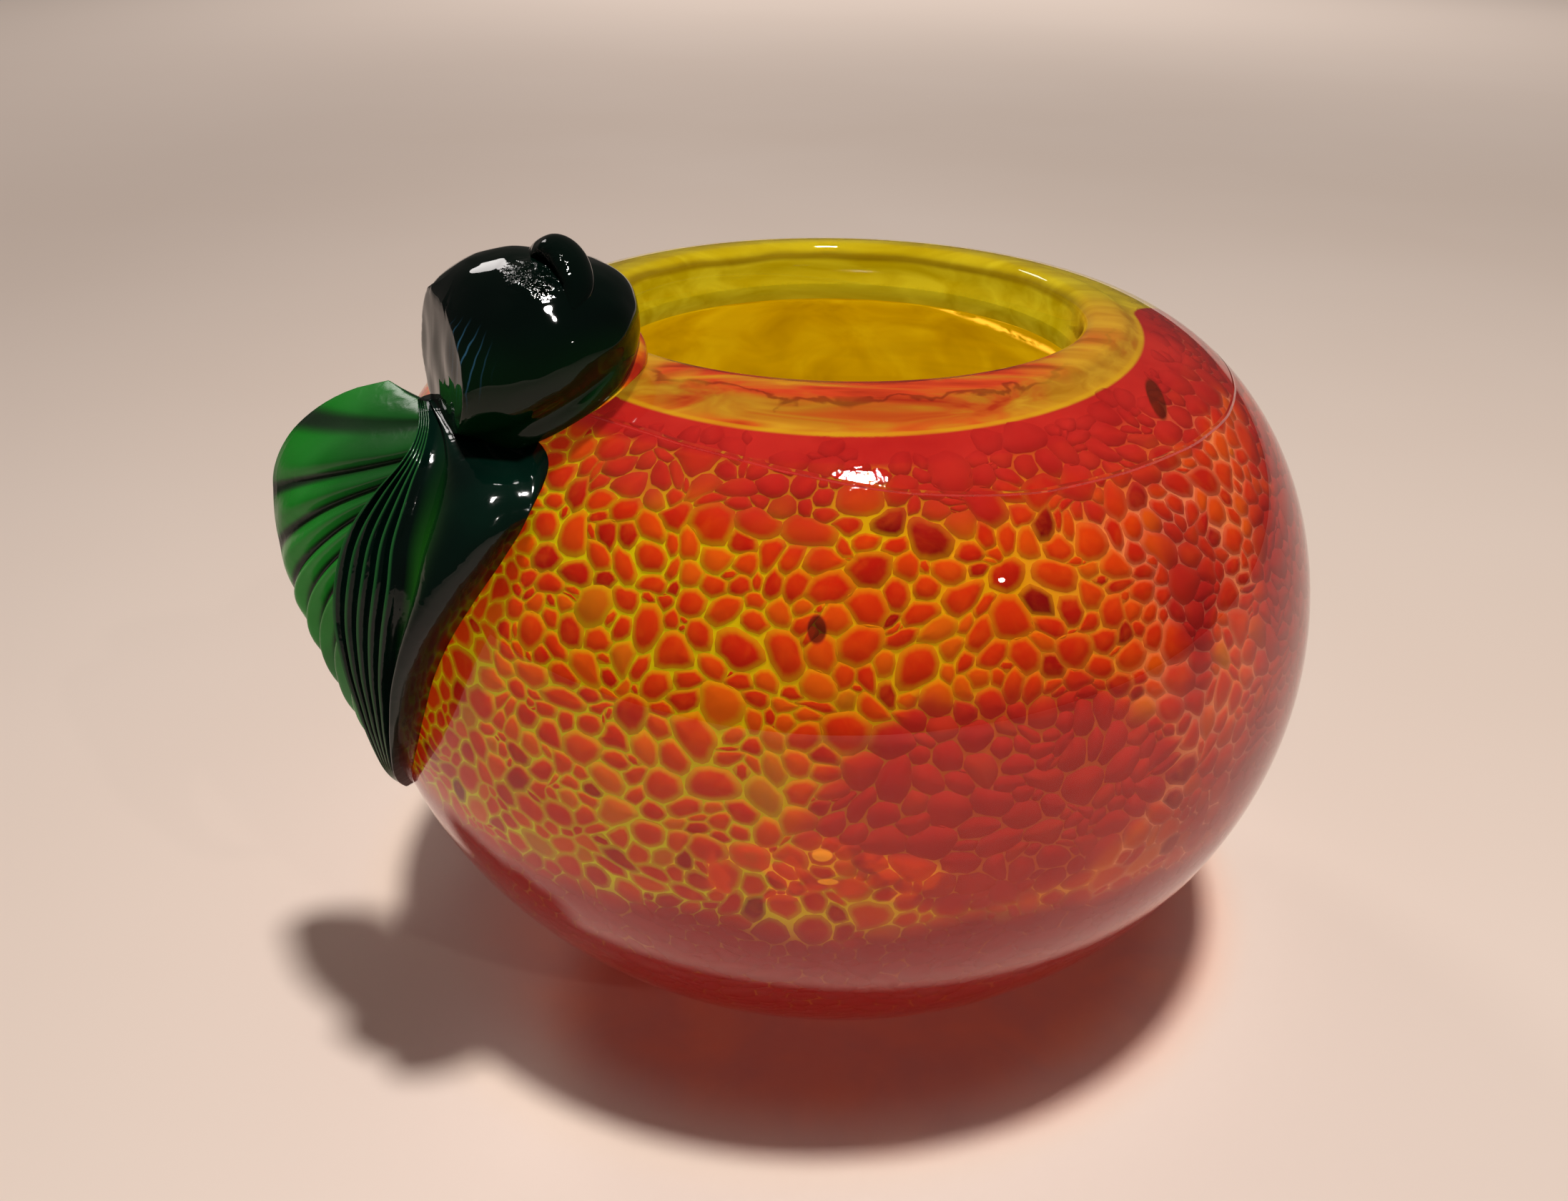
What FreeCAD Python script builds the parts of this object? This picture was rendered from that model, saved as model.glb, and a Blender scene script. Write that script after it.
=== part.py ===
"""Art glass apple: a squat, open, thick-walled blown bowl with a stem and a leaf.

The body is three gathers of glass, one inside the other, turned about the Z axis. The stem, its
curl, the clear bit under it and the folded, ribbed leaf were put on the left shoulder while hot.
Millimetres, +Z up, origin at the centre of the ground foot. The broad side of the leaf faces
front and left, towards -X and -Y.
"""

import FreeCAD, Part
import Sketcher
import math
import os

V = FreeCAD.Vector

# Driving dimensions, in millimetres, and angles in degrees
SIZES = {
    # body, turned
    "body_radius": 65.0,  # at the equator
    "equator_height": 51.8,  # widest level above the foot
    "body_height": 92.9,  # foot to the crest of the lip
    "crest_radius": 33.2,  # ring on which the lip is highest
    "lip_round": 1.7,  # from the crest of the lip in to the clear opening
    "foot_radius": 27.1,  # flat ground off the round bottom
    "clear_wall": 4.5,  # clear glass over the chips, at the side
    "clear_floor": 4.0,  # clear glass under the chips, at the foot
    "chip_layer": 1.5,  # thickness of the coat of chips
    "chip_edge_gap": 4.8,  # the chips stop this far outside the crest of the lip
    "lining_wall": 3.0,  # yellow glass, at the side and the lip
    "lining_floor": 6.5,  # yellow glass, at the bottom of the bowl
    # stem
    "stem_azimuth": -143.5,
    "stem_lean": 5.4,  # outward, more than the shoulder under it
    "stem_lean_azimuth": -163.0,
    "knob_radius": 13.3,
    "knob_belly_level": 4.4,  # widest level above the seat
    "knob_height": 15.0,  # seat to top
    "knob_neck_radius": 11.0,
    "knob_root": 5.0,  # how far the neck runs on towards the body before it is cut to fit
    "rim_ring_radius": 11.4,  # middle of the roll round the foot of the knob
    "rim_roll_radius": 2.0,
    "rim_level": 0.2,
    "flat_side_inset": 2.2,  # depth of the flat on the left side
    "flat_side_azimuth": -153.5,
    # curl on top of the stem
    "curl_arc_radius": 8.5,  # of the bend over the top
    "curl_width": 5.4,
    "curl_thickness": 2.7,
    "curl_azimuth": -65.0,  # the way the tongue's end points
    "curl_offset": 1.5,  # to the right of the knob's middle
    "curl_rise": 3.2,  # centre of the bend above the knob's middle
    # clear bit between stem and body
    "join_radius": 12.0,
    "join_height": 4.4,
    "join_sink": 1.6,  # its middle below the stem's seat
    "join_shift": 2.9,  # towards the front and the mouth
    "join_azimuth": -15.0,
    # leaf
    "leaf_drop": 4.8,  # its highest edge below the crest of the lip
    "leaf_length": 50.8,  # top to tip, upright
    "leaf_width": 40.0,
    "leaf_thickness": 6.0,  # from the leaf's plane to the top of its ribs
    "leaf_face_azimuth": -125.0,  # the way its broad side looks
    "leaf_root_azimuth": -129.5,  # where it lies on the body, at the root
    "leaf_tip_azimuth": -150.5,
    "scallop_depth": 1.1,  # notches in its edge, where the veins run out
}

RIB_COUNT = 5
SMOOTH_EDGE_VEIN_COUNT = 4  # veins at the top that leave no notch in the edge

# Place of the stem on the shoulder, as a share of the way from the crest of the lip to the equator
STEM_RING_SHARE = 0.2925

# Leaf stations from root to tip, as shares: drop, inner edge, outer edge, first rib, fold, sweep along
# the body, depth. The first rib and the fold are shares of the way from the inner to the outer edge.
LEAF_STATION_SHARES = (
    (0.00, 0.46, 0.74, 0.16, 0.30, 0.00, 0.45),
    (0.03, 0.24, 0.85, 0.25, 0.33, 0.00, 0.75),
    (0.08, 0.03, 0.94, 0.32, 0.41, 0.00, 1.00),
    (0.14, -0.03, 0.99, 0.31, 0.46, 0.00, 1.08),
    (0.22, -0.02, 0.98, 0.27, 0.49, 0.02, 1.10),
    (0.30, 0.00, 0.90, 0.22, 0.51, 0.07, 1.05),
    (0.41, 0.00, 0.75, 0.17, 0.50, 0.20, 1.00),
    (0.52, 0.00, 0.58, 0.14, 0.47, 0.31, 0.93),
    (0.64, 0.00, 0.40, 0.13, 0.45, 0.41, 0.80),
    (0.78, 0.00, 0.22, 0.14, 0.46, 0.57, 0.60),
    (0.91, 0.00, 0.10, 0.17, 0.50, 0.80, 0.38),
    (1.00, 0.00, 0.05, 0.20, 0.55, 1.00, 0.20),
)

# Near fold across: the pad, as shares of the way to the first rib and of the leaf's thickness, then
# the ribs, and the back from the fold to the body
PAD_FRONT_SHARES = ((0.00, 0.10), (0.10, 0.72), (0.36, 1.02), (0.66, 0.88), (0.84, 0.56), (0.94, 0.54))
RIB_TOP_SHARE = 0.98
RIB_VALLEY_SHARE = 0.74
FOLD_SIDE_SHARES = (0.45, -0.04)
FOLD_BACK_SHARES = ((0.60, -0.10), (0.25, -0.30), (0.00, -0.60))

# Far lobe: pleats that slant from under the fold down to the edge. Each pair of shares is the drop
# at the fold and at the edge; a vein runs half way between one pair and the next.
PLEAT_DROP_SHARES = (
    (0.02, 0.02),
    (0.05, 0.14),
    (0.09, 0.25),
    (0.14, 0.36),
    (0.20, 0.46),
    (0.27, 0.555),
    (0.36, 0.64),
    (0.46, 0.72),
    (0.57, 0.795),
    (0.69, 0.865),
    (0.83, 0.93),
    (0.985, 0.985),
)
LOBE_ROOT_SHARE = 0.80  # of the way to the fold, under which the lobe begins
PLEAT_WAY_SHARES = (0.0, 0.3, 0.6, 0.85, 1.0)
PLEAT_TOP_SHARES = (0.52, 0.50, 0.46, 0.36, 0.14)
PLEAT_VEIN_SHARES = (0.30, 0.24, 0.20, 0.16, 0.08)
LOBE_BACK_SHARE = -0.08

# The block that cuts the knob's flat side, as a share of the knob's radius
BLOCK_SPAN_SHARE = 4

doc = FreeCAD.newDocument("ArtGlassApple")
sheet = doc.addObject("Spreadsheet::Sheet", "Sizes")
for row, (alias, value) in enumerate(SIZES.items(), start=1):
    sheet.set(f"A{row}", alias)
    sheet.set(f"B{row}", str(value))
    sheet.setAlias(f"B{row}", alias)
doc.recompute()


class Size:
    """A length with its value and the expression that keeps it tied to the sheet."""

    def __init__(self, value, text):
        self.value = value
        self.text = text

    def __add__(self, other):
        return Size(self.value + other.value, f"({self.text} + {other.text})")

    def __sub__(self, other):
        return Size(self.value - other.value, f"({self.text} - {other.text})")

    def __mul__(self, other):
        return Size(self.value * other.value, f"({self.text} * {other.text})")

    def __truediv__(self, other):
        return Size(self.value / other.value, f"({self.text} / {other.text})")

    def __neg__(self):
        return Size(-self.value, f"(-{self.text})")

    def root(self):
        return Size(math.sqrt(self.value), f"sqrt({self.text})")


def size(alias):
    return Size(float(sheet.get(alias)), f"Sizes.{alias}")


def number(alias):
    return float(sheet.get(alias))


ZERO = Size(0.0, "0")


# Turned forms

QUARTER_WEIGHT = Size(math.sqrt(0.5), "sqrt(0.5)")


def turned_body(name, corners):
    """A solid of revolution. corners lists (radius, height, how): the way to the next corner is a
    "line", a quarter ellipse that leaves "upright" or "level", or, from the edge of a foot, the
    part of an ellipse that swells "out" to the next corner, about the Z axis."""
    body = doc.addObject("PartDesign::Body", name)
    sketch = body.newObject("Sketcher::SketchObject", name + "_profile")
    plane = next(f for f in body.Origin.OriginFeatures if f.Role == "XZ_Plane")
    sketch.AttachmentSupport = [(plane, "")]
    sketch.MapMode = "FlatFace"

    def pin(geometry, point, radius, height):
        for kind, length in (("DistanceX", radius), ("DistanceY", height)):
            entry = Sketcher.Constraint(kind, -1, 1, geometry, point, length.value)
            index = sketch.addConstraint(entry)
            sketch.setExpression(f"Constraints[{index}]", length.text)

    edges = []
    for index, (radius, height, how) in enumerate(corners):
        next_radius, next_height, _ = corners[(index + 1) % len(corners)]
        start = V(radius.value, height.value, 0)
        end = V(next_radius.value, next_height.value, 0)
        if how == "line":
            edges.append(sketch.addGeometry(Part.LineSegment(start, end), False))
            continue
        weight = QUARTER_WEIGHT
        if how == "upright":
            middle = (radius, next_height)
        elif how == "level":
            middle = (next_radius, height)
        else:
            both = next_radius + radius
            middle = (next_radius, next_height - (next_height - height) * next_radius / both)
            weight = (both / (next_radius + next_radius)).root()
        curve = Part.BSplineCurve()
        poles = [start, V(middle[0].value, middle[1].value, 0), end]
        weights = [1.0, weight.value, 1.0]
        curve.buildFromPolesMultsKnots(poles, [3, 3], [0.0, 1.0], False, 2, weights)
        edge = sketch.addGeometry(curve, False)
        sketch.exposeInternalGeometry(edge)
        edges.append(edge)
        pin(edge + 2, 3, *middle)
        index = sketch.addConstraint(Sketcher.Constraint("Weight", edge + 2, weight.value))
        sketch.setExpression(f"Constraints[{index}]", weight.text)
    for index, edge in enumerate(edges):
        pin(edge, 1, corners[index][0], corners[index][1])
        join = Sketcher.Constraint("Coincident", edge, 2, edges[(index + 1) % len(edges)], 1)
        sketch.addConstraint(join)
    doc.recompute()
    turn = body.newObject("PartDesign::Revolution", name + "_turned")
    turn.Profile = sketch
    turn.ReferenceAxis = (sketch, ["V_Axis"])
    turn.Angle = 360
    doc.recompute()
    return body


body_radius = size("body_radius")
equator = size("equator_height")
height = size("body_height")
crest = size("crest_radius")
lip_round = size("lip_round")
mouth = crest - lip_round
chips_in = size("clear_wall")
lining_in = chips_in + size("chip_layer")
bowl_in = lining_in + size("lining_wall")
foot = size("foot_radius")
chips_low = size("clear_floor")
lining_low = chips_low + size("chip_layer")
bowl_low = lining_low + size("lining_floor")


def shell_side(inset, low):
    """Corners of one gather's outside, from the pole at the bottom up to the ring under the crest."""
    return [
        (ZERO, low, "level"),
        (body_radius - inset, equator, "upright"),
        (crest, height - inset, None),
    ]


def outside(how):
    """Corners of the body's outside: across the ground foot and up to the crest."""
    return [
        (ZERO, ZERO, "line"),
        (foot, ZERO, "out"),
        (body_radius, equator, "upright"),
        (crest, height, how),
    ]


def then(corners, how):
    """The same corners, the last one with the way on to what follows."""
    radius, level, _ = corners[-1]
    return corners[:-1] + [(radius, level, how)]


def back_down(inset, low):
    """The same side from top to bottom, closed along the axis."""
    return [
        (crest, height - inset, "level"),
        (body_radius - inset, equator, "upright"),
        (ZERO, low, "line"),
    ]


# The whole outer form, solid: what the stem and the leaf are fitted to
outer_form = turned_body("outer_form", outside("line") + [(ZERO, height, "line")])

# Clear casing, still with the room for the chips in it filled
casing_blank = turned_body(
    "casing_blank",
    outside("level")
    + [(mouth, height - lip_round, "line"), (mouth, height - lining_in, "line")]
    + back_down(lining_in, lining_low),
)

# Coat of chips, cut off at a ring short of the lip
chip_layer = turned_body(
    "red_chip_layer",
    then(shell_side(chips_in, chips_low), "line") + back_down(lining_in, lining_low),
)
chip_stop = chip_layer.newObject("PartDesign::SubtractiveCylinder", "chip_stop")
chip_stop.setExpression("Radius", "Sizes.crest_radius + Sizes.chip_edge_gap")
chip_stop.setExpression("Height", "Sizes.body_height")
chip_stop.setExpression("AttachmentOffset.Base.z", "Sizes.equator_height")
chip_stop.AttachmentSupport = [
    (next(f for f in chip_layer.Origin.OriginFeatures if f.Role == "XY_Plane"), "")
]
chip_stop.MapMode = "FlatFace"
doc.recompute()

yellow_lining = turned_body(
    "yellow_lining",
    then(shell_side(lining_in, lining_low), "line")
    + [(mouth, height - lining_in, "line"), (mouth, height - bowl_in + lip_round, "upright")]
    + back_down(bowl_in, bowl_low),
)


# Cuts that fit one piece to another

def cut(name, base, tools):
    """base less every tool, one after the other. The last cut carries the name."""
    for index, tool in enumerate(tools, start=1):
        last = index == len(tools)
        result = doc.addObject("Part::Cut", name if last else f"{name}_fit_{index}")
        result.Base = base
        result.Tool = tool
        base = result
    doc.recompute()
    return base


clear_casing = cut("clear_casing", casing_blank, [chip_layer])


# Stem

def outer_radius(level):
    """Radius of the body's outside at a height."""
    centre = number("equator_height")
    if level < centre:
        foot_share = number("foot_radius") / number("body_radius")
        rise = (centre - level) / centre
        return number("body_radius") * math.sqrt(1 - rise * rise * (1 - foot_share * foot_share))
    rise = (level - centre) / (number("body_height") - centre)
    swell = number("body_radius") - number("crest_radius")
    return number("crest_radius") + swell * math.sqrt(max(0.0, 1 - rise * rise))


def around(azimuth, radius, level=0.0):
    turn = math.radians(azimuth)
    return V(radius * math.cos(turn), radius * math.sin(turn), level)


# The stem stands on the shoulder's ellipse and leans with it
shoulder_swell = number("body_radius") - number("crest_radius")
shoulder_rise = number("body_height") - number("equator_height")
level_share = math.sqrt(1 - STEM_RING_SHARE * STEM_RING_SHARE)
shoulder_slope = math.degrees(
    math.atan2(STEM_RING_SHARE * shoulder_rise, level_share * shoulder_swell)
)
stem_seat = around(
    number("stem_azimuth"),
    number("crest_radius") + STEM_RING_SHARE * shoulder_swell,
    number("equator_height") + level_share * shoulder_rise,
)
lean_axis = V(0, 0, 1).cross(around(number("stem_lean_azimuth"), 1.0))
stem_turn = FreeCAD.Rotation(lean_axis, shoulder_slope + number("stem_lean"))
stem_place = FreeCAD.Placement(stem_seat, stem_turn)

knob_lump = turned_body(
    "knob_lump",
    [
        (ZERO, -size("knob_root"), "line"),
        (size("knob_neck_radius"), -size("knob_root"), "line"),
        (size("knob_neck_radius"), ZERO, "level"),
        (size("knob_radius"), size("knob_belly_level"), "upright"),
        (ZERO, size("knob_height"), "line"),
    ],
)
knob_lump.Placement = stem_place

# Roll round the foot of the knob
rim_roll = doc.addObject("Part::Torus", "rim_roll")
rim_roll.setExpression("Radius1", "Sizes.rim_ring_radius")
rim_roll.setExpression("Radius2", "Sizes.rim_roll_radius")
rim_middle = stem_place.multVec(V(0, 0, number("rim_level")))
rim_roll.Placement = FreeCAD.Placement(rim_middle, stem_turn)
rolled_knob = doc.addObject("Part::Fuse", "rolled_knob")
rolled_knob.Base = knob_lump
rolled_knob.Tool = rim_roll

# A flat block against the left side gives the knob its one plane face
block_span = f"{BLOCK_SPAN_SHARE} * Sizes.knob_radius"
flat_block = doc.addObject("Part::Box", "flat_block")
flat_block.setExpression("Length", block_span)
flat_block.setExpression("Width", block_span)
flat_block.setExpression("Height", block_span)
knob_middle = stem_place.multVec(V(0, 0, number("knob_belly_level")))
flat_reach = number("knob_radius") - number("flat_side_inset")
half_span = number("knob_radius") * BLOCK_SPAN_SHARE / 2
block_turn = FreeCAD.Rotation(V(0, 0, 1), number("flat_side_azimuth"))
block_corner = block_turn.multVec(V(flat_reach, -half_span, -half_span))
flat_block.Placement = FreeCAD.Placement(knob_middle + block_corner, block_turn)
stem_knob = cut("stem_knob", rolled_knob, [flat_block, outer_form])

# Curl: an oval section swept along an arc over the top of the knob

def curl_shape():
    arc_radius = number("curl_arc_radius")
    first = V(-arc_radius, 0, 0)
    last = V(arc_radius, 0, 0)
    path = Part.Wire(Part.Arc(first, V(0, 0, arc_radius), last).toShape())
    wide = number("curl_width") / 2
    thick = number("curl_thickness") / 2
    oval = Part.Ellipse(V(first.x, wide, 0), V(first.x + thick, 0, 0), first)
    section = Part.Wire(oval.toShape())
    return path.makePipeShell([section], True, True)


curl_blank = doc.addObject("Part::Feature", "curl_blank")
curl_blank.Shape = curl_shape()
curl_turn = FreeCAD.Rotation(V(0, 0, 1), number("curl_azimuth"))
curl_centre = knob_middle + V(0, 0, number("curl_rise"))
curl_shift = around(number("curl_azimuth") + 90, number("curl_offset"))
curl_blank.Placement = FreeCAD.Placement(curl_centre + curl_shift, curl_turn)
stem_curl = cut("stem_curl", curl_blank, [stem_knob, outer_form])


# Leaf

face = around(number("leaf_face_azimuth"), 1.0)
across = around(number("leaf_face_azimuth") - 90, 1.0)


def mixed(pair_shares, share):
    """The value at a share of the way from the first of a pair to the second."""
    return pair_shares[0] + share * (pair_shares[1] - pair_shares[0])


def station_at(drop_share):
    """The leaf's station at any drop, between those of the table."""
    for above, below in zip(LEAF_STATION_SHARES, LEAF_STATION_SHARES[1:]):
        if drop_share <= below[0]:
            way = (drop_share - above[0]) / (below[0] - above[0])
            return [mixed(pair, way) for pair in zip(above, below)]
    return list(LEAF_STATION_SHARES[-1])


def leaf_point(station, width_share, depth_share):
    """A point of the leaf: its place across the station, and how far it stands out to the front."""
    drop, inner, outer, _, _, sweep, depth = station
    level = number("body_height") - number("leaf_drop") - drop * number("leaf_length")
    azimuth = mixed((number("leaf_root_azimuth"), number("leaf_tip_azimuth")), sweep)
    contact = around(azimuth, outer_radius(level), level)
    along = mixed((inner, outer), width_share) * number("leaf_width")
    out = depth_share * depth * number("leaf_thickness")
    return contact + across * along + face * out


def fold_outline(station):
    """Near fold at one station: the smooth pad, a row of ribs, the fold's side and the back."""
    _, _, _, first_rib, fold, _, _ = station
    shares = [(first_rib * way, deep) for way, deep in PAD_FRONT_SHARES]
    steps = 2 * RIB_COUNT
    for step in range(steps + 1):
        deep = RIB_TOP_SHARE if step % 2 else RIB_VALLEY_SHARE
        shares.append((mixed((first_rib, fold), step / steps), deep))
    shares += [(fold, deep) for deep in FOLD_SIDE_SHARES]
    shares += [(fold * way, deep) for way, deep in FOLD_BACK_SHARES]
    points = [leaf_point(station, wide, deep) for wide, deep in shares]
    return Part.makePolygon(points + points[:1])


def pleat_outline(drops, front_shares, notch):
    """Far lobe along one pleat or vein, from under the fold to the edge, front and back."""
    start_station = station_at(drops[0])
    root = start_station[4] * LOBE_ROOT_SHARE
    front = []
    back = []
    for way, deep in zip(PLEAT_WAY_SHARES, front_shares):
        station = station_at(mixed(drops, way))
        pull = across * (notch * way * way)
        wide = mixed((root, 1.0), way)
        front.append(leaf_point(station, wide, deep) - pull)
        back.append(leaf_point(station, wide, LOBE_BACK_SHARE) - pull)
    points = front + back[::-1]
    return Part.makePolygon(points + points[:1])


def leaf_lobe():
    """Pleats with a vein between each two."""
    sections = []
    for index, (above, below) in enumerate(zip(PLEAT_DROP_SHARES, PLEAT_DROP_SHARES[1:])):
        between = [mixed(pair, 0.5) for pair in zip(above, below)]
        notch = number("scallop_depth") if index >= SMOOTH_EDGE_VEIN_COUNT else 0.0
        sections.append(pleat_outline(above, PLEAT_TOP_SHARES, 0.0))
        sections.append(pleat_outline(between, PLEAT_VEIN_SHARES, notch))
    sections.append(pleat_outline(PLEAT_DROP_SHARES[-1], PLEAT_TOP_SHARES, 0.0))
    return Part.makeLoft(sections, True, True)


near_fold = doc.addObject("Part::Feature", "near_fold")
near_fold.Shape = Part.makeLoft([fold_outline(row) for row in LEAF_STATION_SHARES], True, False)
far_lobe = doc.addObject("Part::Feature", "far_lobe")
far_lobe.Shape = leaf_lobe()
whole_leaf = doc.addObject("Part::Fuse", "whole_leaf")
whole_leaf.Base = near_fold
whole_leaf.Tool = far_lobe
ribbed_leaf = cut("ribbed_leaf", whole_leaf, [outer_form, stem_knob])

# Clear bit, squeezed out between the stem and the shoulder
join_blank = doc.addObject("Part::Ellipsoid", "join_blank")
join_blank.setExpression("Radius1", "Sizes.join_height")
join_blank.setExpression("Radius2", "Sizes.join_radius")
join_blank.setExpression("Radius3", "Sizes.join_radius")
join_centre = stem_place.multVec(V(0, 0, -number("join_sink")))
join_centre += around(number("join_azimuth"), number("join_shift"))
join_blank.Placement = FreeCAD.Placement(join_centre, stem_turn)
clear_join = cut("clear_join", join_blank, [outer_form, stem_knob, ribbed_leaf])

PIECES = [clear_casing, chip_layer, yellow_lining, clear_join, stem_knob, stem_curl, ribbed_leaf]

doc.recompute()
for thing in doc.Objects:
    if {"Invalid", "Error"} & set(thing.State):
        raise RuntimeError(f"{thing.Name}: {thing.State}")
for piece in PIECES:
    shape = piece.Shape
    if shape.isNull() or not shape.isValid() or not shape.Solids:
        raise RuntimeError(f"{piece.Name}: no valid solid")
    print(f"{piece.Name}: {len(shape.Solids)} solid, {shape.Volume / 1000:.1f} cm3")

os.makedirs("parts", exist_ok=True)
for piece in PIECES:
    piece.Label = piece.Name
    piece.Shape.exportStep(f"parts/{piece.Name}.step")
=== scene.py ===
# %% [markdown]
# # A blown glass apple
# The object is a squat open bowl of hot-worked glass. Three gathers lie one inside the other: a yellow
# lining, a coat of red chips, and a thick clear casing. A dark green stem and a pressed leaf were stuck
# on while hot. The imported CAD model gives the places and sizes, and this script gives the looks: each
# gather is its own mesh, so light meets the same layers in the same order as in the real glass.

import math

import bmesh
import bpy
import numpy as np
from mathutils import Matrix, Vector, noise


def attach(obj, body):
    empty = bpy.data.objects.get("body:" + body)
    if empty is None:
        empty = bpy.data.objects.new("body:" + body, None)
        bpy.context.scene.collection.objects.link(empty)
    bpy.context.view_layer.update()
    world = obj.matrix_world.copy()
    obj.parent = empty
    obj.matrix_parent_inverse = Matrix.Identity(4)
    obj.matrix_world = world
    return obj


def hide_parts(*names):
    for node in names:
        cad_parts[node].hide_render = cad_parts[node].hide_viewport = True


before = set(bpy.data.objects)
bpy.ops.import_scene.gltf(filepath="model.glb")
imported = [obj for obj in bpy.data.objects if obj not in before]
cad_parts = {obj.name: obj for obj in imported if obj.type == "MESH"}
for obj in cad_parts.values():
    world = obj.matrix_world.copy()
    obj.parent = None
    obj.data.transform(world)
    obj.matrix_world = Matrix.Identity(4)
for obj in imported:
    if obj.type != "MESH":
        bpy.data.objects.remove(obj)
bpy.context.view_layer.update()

# %% [markdown]
# ## Camera
# The picture was taken from a little above with a phone's short lens, so near things look larger. A
# perspective camera with the same pitch and lens gives the same swelling of the bowl. The whole scene
# is placed before anything is dressed, because a match of colours means little from another angle.

# %% Camera
def placed(name, data):
    """A new object in the scene."""
    made = bpy.data.objects.new(name, data)
    bpy.context.scene.collection.objects.link(made)
    return made


MM = 0.001
CAMERA_PLACE = Vector((-6.955, -185.056, 143.661)) * MM
CAMERA_PITCH = math.radians(27.2)
CAMERA_ROLL = math.radians(0.65)
camera_data = bpy.data.cameras.new("camera")
camera_data.lens = 32.83
camera_data.sensor_width = 36.0
camera_data.clip_start = 0.01
camera = placed("camera", camera_data)
camera.matrix_world = (
    Matrix.Translation(CAMERA_PLACE)
    @ Matrix.Rotation(math.pi / 2 - CAMERA_PITCH, 4, "X")
    @ Matrix.Rotation(CAMERA_ROLL, 4, "Z")
)
bpy.context.scene.camera = camera
bpy.context.scene.view_settings.view_transform = "Standard"
print("camera looks down by", round(math.degrees(CAMERA_PITCH), 1), "degrees")

# %% [markdown]
# ## Helpers for materials
# A material is a small graph of nodes. `Paint` keeps the tree of one material and adds nodes in one
# line each, so that a recipe reads from top to bottom: coordinates, patterns, colours, shader.

# %% Node helpers
class Value:
    """What a node gives. Numbers take plain arithmetic, and each step of it is a node too."""

    def __init__(self, graph, socket):
        self.graph, self.socket = graph, socket

    def math(self, operation, other=0.0):
        return self.graph.value("ShaderNodeMath", {0: self, 1: other}, operation=operation)

    def __add__(self, other):
        return self.math("ADD", other)

    def __sub__(self, other):
        return self.math("SUBTRACT", other)

    def __mul__(self, other):
        return self.math("MULTIPLY", other)

    def __truediv__(self, other):
        return self.math("DIVIDE", other)

    def __abs__(self):
        return self.math("ABSOLUTE")

    def steps(self, low, high, to_low=0.0, to_high=1.0):
        """A soft step from to_low to to_high, while this goes from low to high."""
        inputs = {0: self, 1: low, 2: high, 3: to_low, 4: to_high}
        return self.graph.value("ShaderNodeMapRange", inputs, interpolation_type="SMOOTHSTEP")

    def ramp(self, *stops):
        """Colours along a number. A stop is its place and its red, green and blue from 0 to 255."""
        node = self.graph.node("ShaderNodeValToRGB", {"Fac": self})
        elements = node.color_ramp.elements
        while len(elements) < len(stops):
            elements.new(0.5)
        for element, (where, *colour) in zip(elements, stops):
            element.position = where
            element.color = (*srgb(*colour), 1.0)
        return Value(self.graph, node.outputs["Color"])

    def vector(self, operation, other=(0.0, 0.0, 0.0), output="Vector"):
        inputs = {0: self, 1: other}
        return self.graph.value("ShaderNodeVectorMath", inputs, output, operation=operation)

    def far_from(self, point):
        return self.vector("DISTANCE", point, "Value")

    def axis(self, name):
        return self.graph.value("ShaderNodeSeparateXYZ", {0: self}, name)

    def noise(self, scale, detail=2.0, distortion=0.0, stretch=None):
        """Noise between 0 and 1, in grains that stretch makes short where it is large."""
        where = self
        if stretch:
            where = self.graph.value("ShaderNodeMapping", {"Vector": self, "Scale": stretch})
        inputs = {"Vector": where, "Scale": scale, "Detail": detail, "Distortion": distortion}
        return self.graph.value("ShaderNodeTexNoise", inputs, "Fac")


class Graph:
    """A tree of nodes, with a line of code for each node."""

    def __init__(self, tree):
        self.tree = tree

    def link(self, source, target):
        self.tree.links.new(source.socket if isinstance(source, Value) else source, target)

    def node(self, kind, inputs=None, **settings):
        """A node whose inputs are constants or come from other nodes. Colours are given without alpha."""
        made = self.tree.nodes.new(kind)
        for key, value in settings.items():
            setattr(made, key, value)
        for key, value in (inputs or {}).items():
            self.fill(made.inputs[key], value)
        return made

    def fill(self, socket, value):
        if isinstance(value, Value):
            self.link(value, socket)
        else:
            socket.default_value = (*value, 1.0) if socket.type == "RGBA" else value

    def value(self, kind, inputs=None, output=0, **settings):
        return Value(self, self.node(kind, inputs, **settings).outputs[output])

    def place(self):
        return self.value("ShaderNodeTexCoord", output="Object")

    def attribute(self, name):
        return self.value("ShaderNodeAttribute", output="Fac", attribute_name=name)

    def group(self, tree, place):
        """The outputs of a group of nodes, by name."""
        made = self.node("ShaderNodeGroup", node_tree=tree)
        self.link(place, made.inputs["Place"])
        return {output.name: Value(self, output) for output in made.outputs}


class Paint(Graph):
    """One material, whose shader is a Principled BSDF."""

    def __init__(self, name):
        self.material = bpy.data.materials.new(name)
        self.material.use_nodes = True
        super().__init__(self.material.node_tree)
        self.shader = self.tree.nodes["Principled BSDF"]
        self.output = self.tree.nodes["Material Output"]

    def bump(self, height, strength, distance):
        made = self.node("ShaderNodeBump", {"Height": height, "Strength": strength, "Distance": distance})
        self.link(made.outputs["Normal"], self.shader.inputs["Normal"])

    def set(self, **values):
        for key, value in values.items():
            self.fill(self.shader.inputs[key.replace("_", " ")], value)


def srgb(red, green, blue):
    """A colour from 0 to 255, as the linear values that a shader wants."""
    shares = [c / 255 for c in (red, green, blue)]
    return tuple(c / 12.92 if c <= 0.04045 else ((c + 0.055) / 1.055) ** 2.4 for c in shares)


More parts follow.
